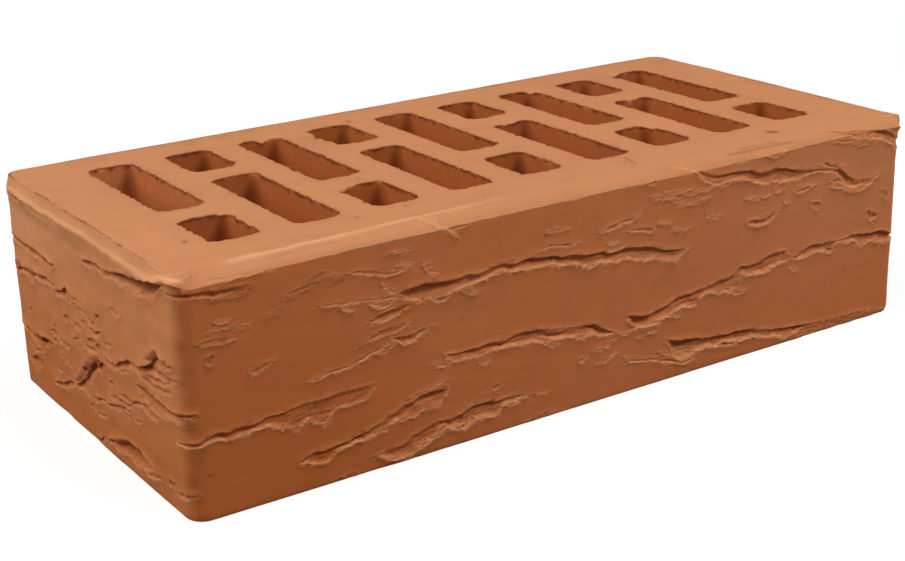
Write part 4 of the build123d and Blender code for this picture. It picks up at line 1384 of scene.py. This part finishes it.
def crumb_tree(material):
    """Strews clay crumbs over the faces it is given, thickest where they are torn."""
    made = bpy.data.node_groups.new("crumbs", "GeometryNodeTree")
    tree = Tree(made)
    made.interface.new_socket("Geometry", in_out="INPUT", socket_type="NodeSocketGeometry")
    for name, kind, value in CRUMB_INPUTS:
        made.interface.new_socket(name, in_out="INPUT", socket_type=kind).default_value = value
    made.interface.new_socket("Geometry", in_out="OUTPUT", socket_type="NodeSocketGeometry")
    given = tree.node("NodeGroupInput").socket.node
    faces, density, smallest, largest, seed = (Value(tree, given.outputs[k]) for k in range(5))

    def random_vector(low, high):
        settings = {"data_type": "FLOAT_VECTOR"}
        return tree.node("FunctionNodeRandomValue", settings, {0: low, 1: high, "Seed": seed})

    def scaled(vector, by):
        return tree.node("ShaderNodeVectorMath", {"operation": "SCALE"}, {0: vector, "Scale": by})

    torn = tree.node("GeometryNodeInputNamedAttribute", {"data_type": "FLOAT"}, {"Name": "crumbly"})
    points = tree.node(
        "GeometryNodeDistributePointsOnFaces",
        {"distribute_method": "RANDOM"},
        {"Mesh": faces, "Density": density * torn, "Seed": seed},
    )
    upright = Value(tree, points.socket.node.outputs["Rotation"])

    # One lump, and its size, proportions and turn at each point
    ball = tree.node("GeometryNodeMeshIcoSphere", inputs={"Radius": 1.0, "Subdivisions": 1})
    place = tree.node("GeometryNodeInputPosition")
    away = scaled(place, (tree.noise(place, 1.3, 2.0) - 0.5) * 1.4)
    lump = tree.node("GeometryNodeSetPosition", inputs={"Geometry": ball, "Offset": away})
    share = tree.node("FunctionNodeRandomValue", {"data_type": "FLOAT"}, {2: 0.0, 3: 1.0, "Seed": seed}, 1)
    size = smallest + (largest - smallest) * share**2.5
    scale = scaled(random_vector((0.7, 0.5, 0.3), (1.6, 0.9, 0.6)), size)
    spin = random_vector((-0.5, -0.5, 0.0), (0.5, 0.5, 6.3))
    turned = tree.node("FunctionNodeRotateRotation", {"rotation_space": "LOCAL"}, {0: upright, 1: spin})
    crumbs = {"Points": points, "Instance": lump, "Rotation": turned, "Scale": scale}
    strewn = tree.node("GeometryNodeInstanceOnPoints", inputs=crumbs)
    real = tree.node("GeometryNodeRealizeInstances", inputs={"Geometry": strewn})
    done = tree.node("GeometryNodeSetMaterial", inputs={"Geometry": real, "Material": material})
    tree.node("NodeGroupOutput", inputs={"Geometry": done})
    return made


def plain_mesh(maker, context):
    """The mesh that an object's modifiers make, as a plain one. The object is then removed."""
    evaluated = maker.evaluated_get(context.evaluated_depsgraph_get())
    mesh = bpy.data.meshes.new_from_object(evaluated)
    bpy.data.objects.remove(maker)
    return mesh


class BRICK_OT_body(bpy.types.Operator):
    """Builds the brick's body with its torn sides, beds and slots"""

    bl_idname = "brick.body"
    bl_label = "Brick body"

    def execute(self, context):
        shape = context.scene.brick_shape
        parts = MeshParts()
        lower, upper = parts.add_grid(*build_sides(shape))
        places = enumerate(slot_places(shape))
        tops, bottoms = zip(*(parts.add_grid(*build_slot(shape, number, place)) for number, place in places))
        fill_bed(parts, upper, tops, HEIGHT, True)
        fill_bed(parts, lower, bottoms, 0.0, False)
        clay = clay_material(context.scene.brick_looks)
        piece = place_piece(self.thinned(context, parts), "brick_body", clay)
        piece.data.set_sharp_from_angle(angle=math.radians(SHARP))
        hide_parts("brick")
        return {"FINISHED"}

    def thinned(self, context, parts):
        """The parts as one mesh, thinned where it is flat but not where a mark would be lost."""
        fine = bpy.data.objects.new("brick_fine", parts.mesh("brick_fine"))
        context.scene.collection.objects.link(fine)
        fine.vertex_groups.new(name="keep").add(parts.marked(), 1.0, "REPLACE")
        triangles = sum(len(block) * (block.shape[1] - 2) for block in parts.faces)
        thin = fine.modifiers.new("Thin", "DECIMATE")
        thin.ratio = min(1.0, context.scene.brick_shape.triangles / triangles)
        thin.vertex_group = "keep"
        thin.invert_vertex_group = True
        return plain_mesh(fine, context)


class BRICK_OT_crumbs(bpy.types.Operator):
    """Strews crumbs in the tears and along the rims of the slots"""

    bl_idname = "brick.crumbs"
    bl_label = "Crumbs"

    def execute(self, context):
        body = bpy.data.objects.get("brick_body")
        if body is None:
            raise RuntimeError("The brick's body comes first")
        material = body.data.materials[0]
        strewn = bpy.data.objects.new("strewn", body.data.copy())
        context.scene.collection.objects.link(strewn)
        strewn.modifiers.new("Crumbs", "NODES").node_group = crumb_tree(material)
        made = plain_mesh(strewn, context)
        if not len(made.polygons):
            raise RuntimeError("No crumbs were strewn")
        place_piece(made, "crumbs", material)
        return {"FINISHED"}


def area_lamp(name, place, size, power):
    """A square lamp at a place, turned to the brick."""
    lamp = bpy.data.lights.new(name, "AREA")
    lamp.size = size
    lamp.energy = power
    made = bpy.data.objects.new(name, lamp)
    made.location = place
    made.rotation_euler = (Vector(LAMP_AIM) - Vector(place)).to_track_quat("-Z", "Y").to_euler()
    bpy.context.scene.collection.objects.link(made)


def floor_material(looks):
    """A pale floor that reads white to the camera, keeps the brick's shadow and fades out further off."""
    material = new_material("floor")
    tree = Tree(material.node_tree)
    camera_ray = tree.node("ShaderNodeLightPath", output="Is Camera Ray")
    dull = tree.node("ShaderNodeBsdfDiffuse", inputs={"Color": (*looks.floor, 1.0)})
    glowing = {"Color": (1, 1, 1, 1), "Strength": camera_ray * FLOOR_GLOW}
    glow = tree.node("ShaderNodeEmission", inputs=glowing)
    both = tree.node("ShaderNodeAddShader", inputs={0: dull, 1: glow})
    clear = tree.node("ShaderNodeBsdfTransparent")
    place = tree.node("ShaderNodeTexCoord", output="Object")
    away = tree.node("ShaderNodeVectorMath", {"operation": "LENGTH"}, {0: place}, output="Value")
    faded = tree.node("ShaderNodeMixShader", inputs={0: away.ramp(*FLOOR_FADE), 1: both, 2: clear})
    tree.node("ShaderNodeOutputMaterial", inputs={"Surface": faded})
    return material


class BRICK_OT_stage(bpy.types.Operator):
    """Sets up the floor, the lamps, the world and the camera"""

    bl_idname = "brick.stage"
    bl_label = "Studio"

    def execute(self, context):
        looks = context.scene.brick_looks
        self.add_floor(context, looks)
        for lamp in LAMPS:
            area_lamp(*lamp)
        world = bpy.data.worlds.new("studio")
        world.use_nodes = True
        tree = Tree(world.node_tree)
        camera_ray = tree.node("ShaderNodeLightPath", output="Is Camera Ray")
        strength = camera_ray * (1 - looks.fill) + looks.fill
        back = tree.node("ShaderNodeBackground", inputs={"Color": (1, 1, 1, 1), "Strength": strength})
        tree.node("ShaderNodeOutputWorld", inputs={"Surface": back})
        context.scene.world = world
        context.scene.view_settings.view_transform = "Standard"
        self.add_camera(context)
        return {"FINISHED"}

    def add_floor(self, context, looks):
        mesh = bpy.data.meshes.new("floor")
        signs = ((-1, -1), (1, -1), (1, 1), (-1, 1))
        corners = [(FLOOR_REACH * x, FLOOR_REACH * y, -FLOOR_DROP) for x, y in signs]
        mesh.from_pydata(corners, [], [(0, 1, 2, 3)])
        mesh.materials.append(floor_material(looks))
        floor = bpy.data.objects.new("floor", mesh)
        context.scene.collection.objects.link(floor)

    def add_camera(self, context):
        eye, target = Vector(EYE) * MM, Vector(TARGET) * MM
        forward = (target - eye).normalized()
        level = forward.cross(Vector((0, 0, 1))).normalized()
        upright = level.cross(forward)
        right = level * math.cos(ROLL) - upright * math.sin(ROLL)
        up = upright * math.cos(ROLL) + level * math.sin(ROLL)
        lens = bpy.data.cameras.new("camera")
        lens.lens = SENSOR_WIDTH * FOCAL_PIXELS / PICTURE_WIDTH_PIXELS
        camera = bpy.data.objects.new("camera", lens)
        axes = Matrix((right, up, -forward)).transposed()
        camera.matrix_world = Matrix.Translation(eye) @ axes.to_4x4()
        context.scene.collection.objects.link(camera)
        context.scene.camera = camera


class BRICK_PT_panel(bpy.types.Panel):
    """The brick's steps and sizes in the sidebar"""

    bl_label = "Brick"
    bl_space_type = "VIEW_3D"
    bl_region_type = "UI"
    bl_category = "Brick"

    def draw(self, context):
        for step in STEPS:
            self.layout.operator(step.bl_idname)
        for group in (context.scene.brick_shape, context.scene.brick_looks):
            for name in group.bl_rna.properties.keys():
                if name not in ("rna_type", "name"):
                    self.layout.prop(group, name)


STEPS = (BRICK_OT_body, BRICK_OT_crumbs, BRICK_OT_stage)
CLASSES = (BrickShape, BrickLooks, *STEPS, BRICK_PT_panel)


def register():
    for part in CLASSES:
        bpy.utils.register_class(part)
    bpy.types.Scene.brick_shape = bpy.props.PointerProperty(type=BrickShape)
    bpy.types.Scene.brick_looks = bpy.props.PointerProperty(type=BrickLooks)


def unregister():
    del bpy.types.Scene.brick_looks
    del bpy.types.Scene.brick_shape
    for part in reversed(CLASSES):
        bpy.utils.unregister_class(part)


def main():
    register()
    bpy.ops.brick.body()
    bpy.ops.brick.crumbs()
    bpy.ops.brick.stage()


if __name__ == "__main__":
    main()
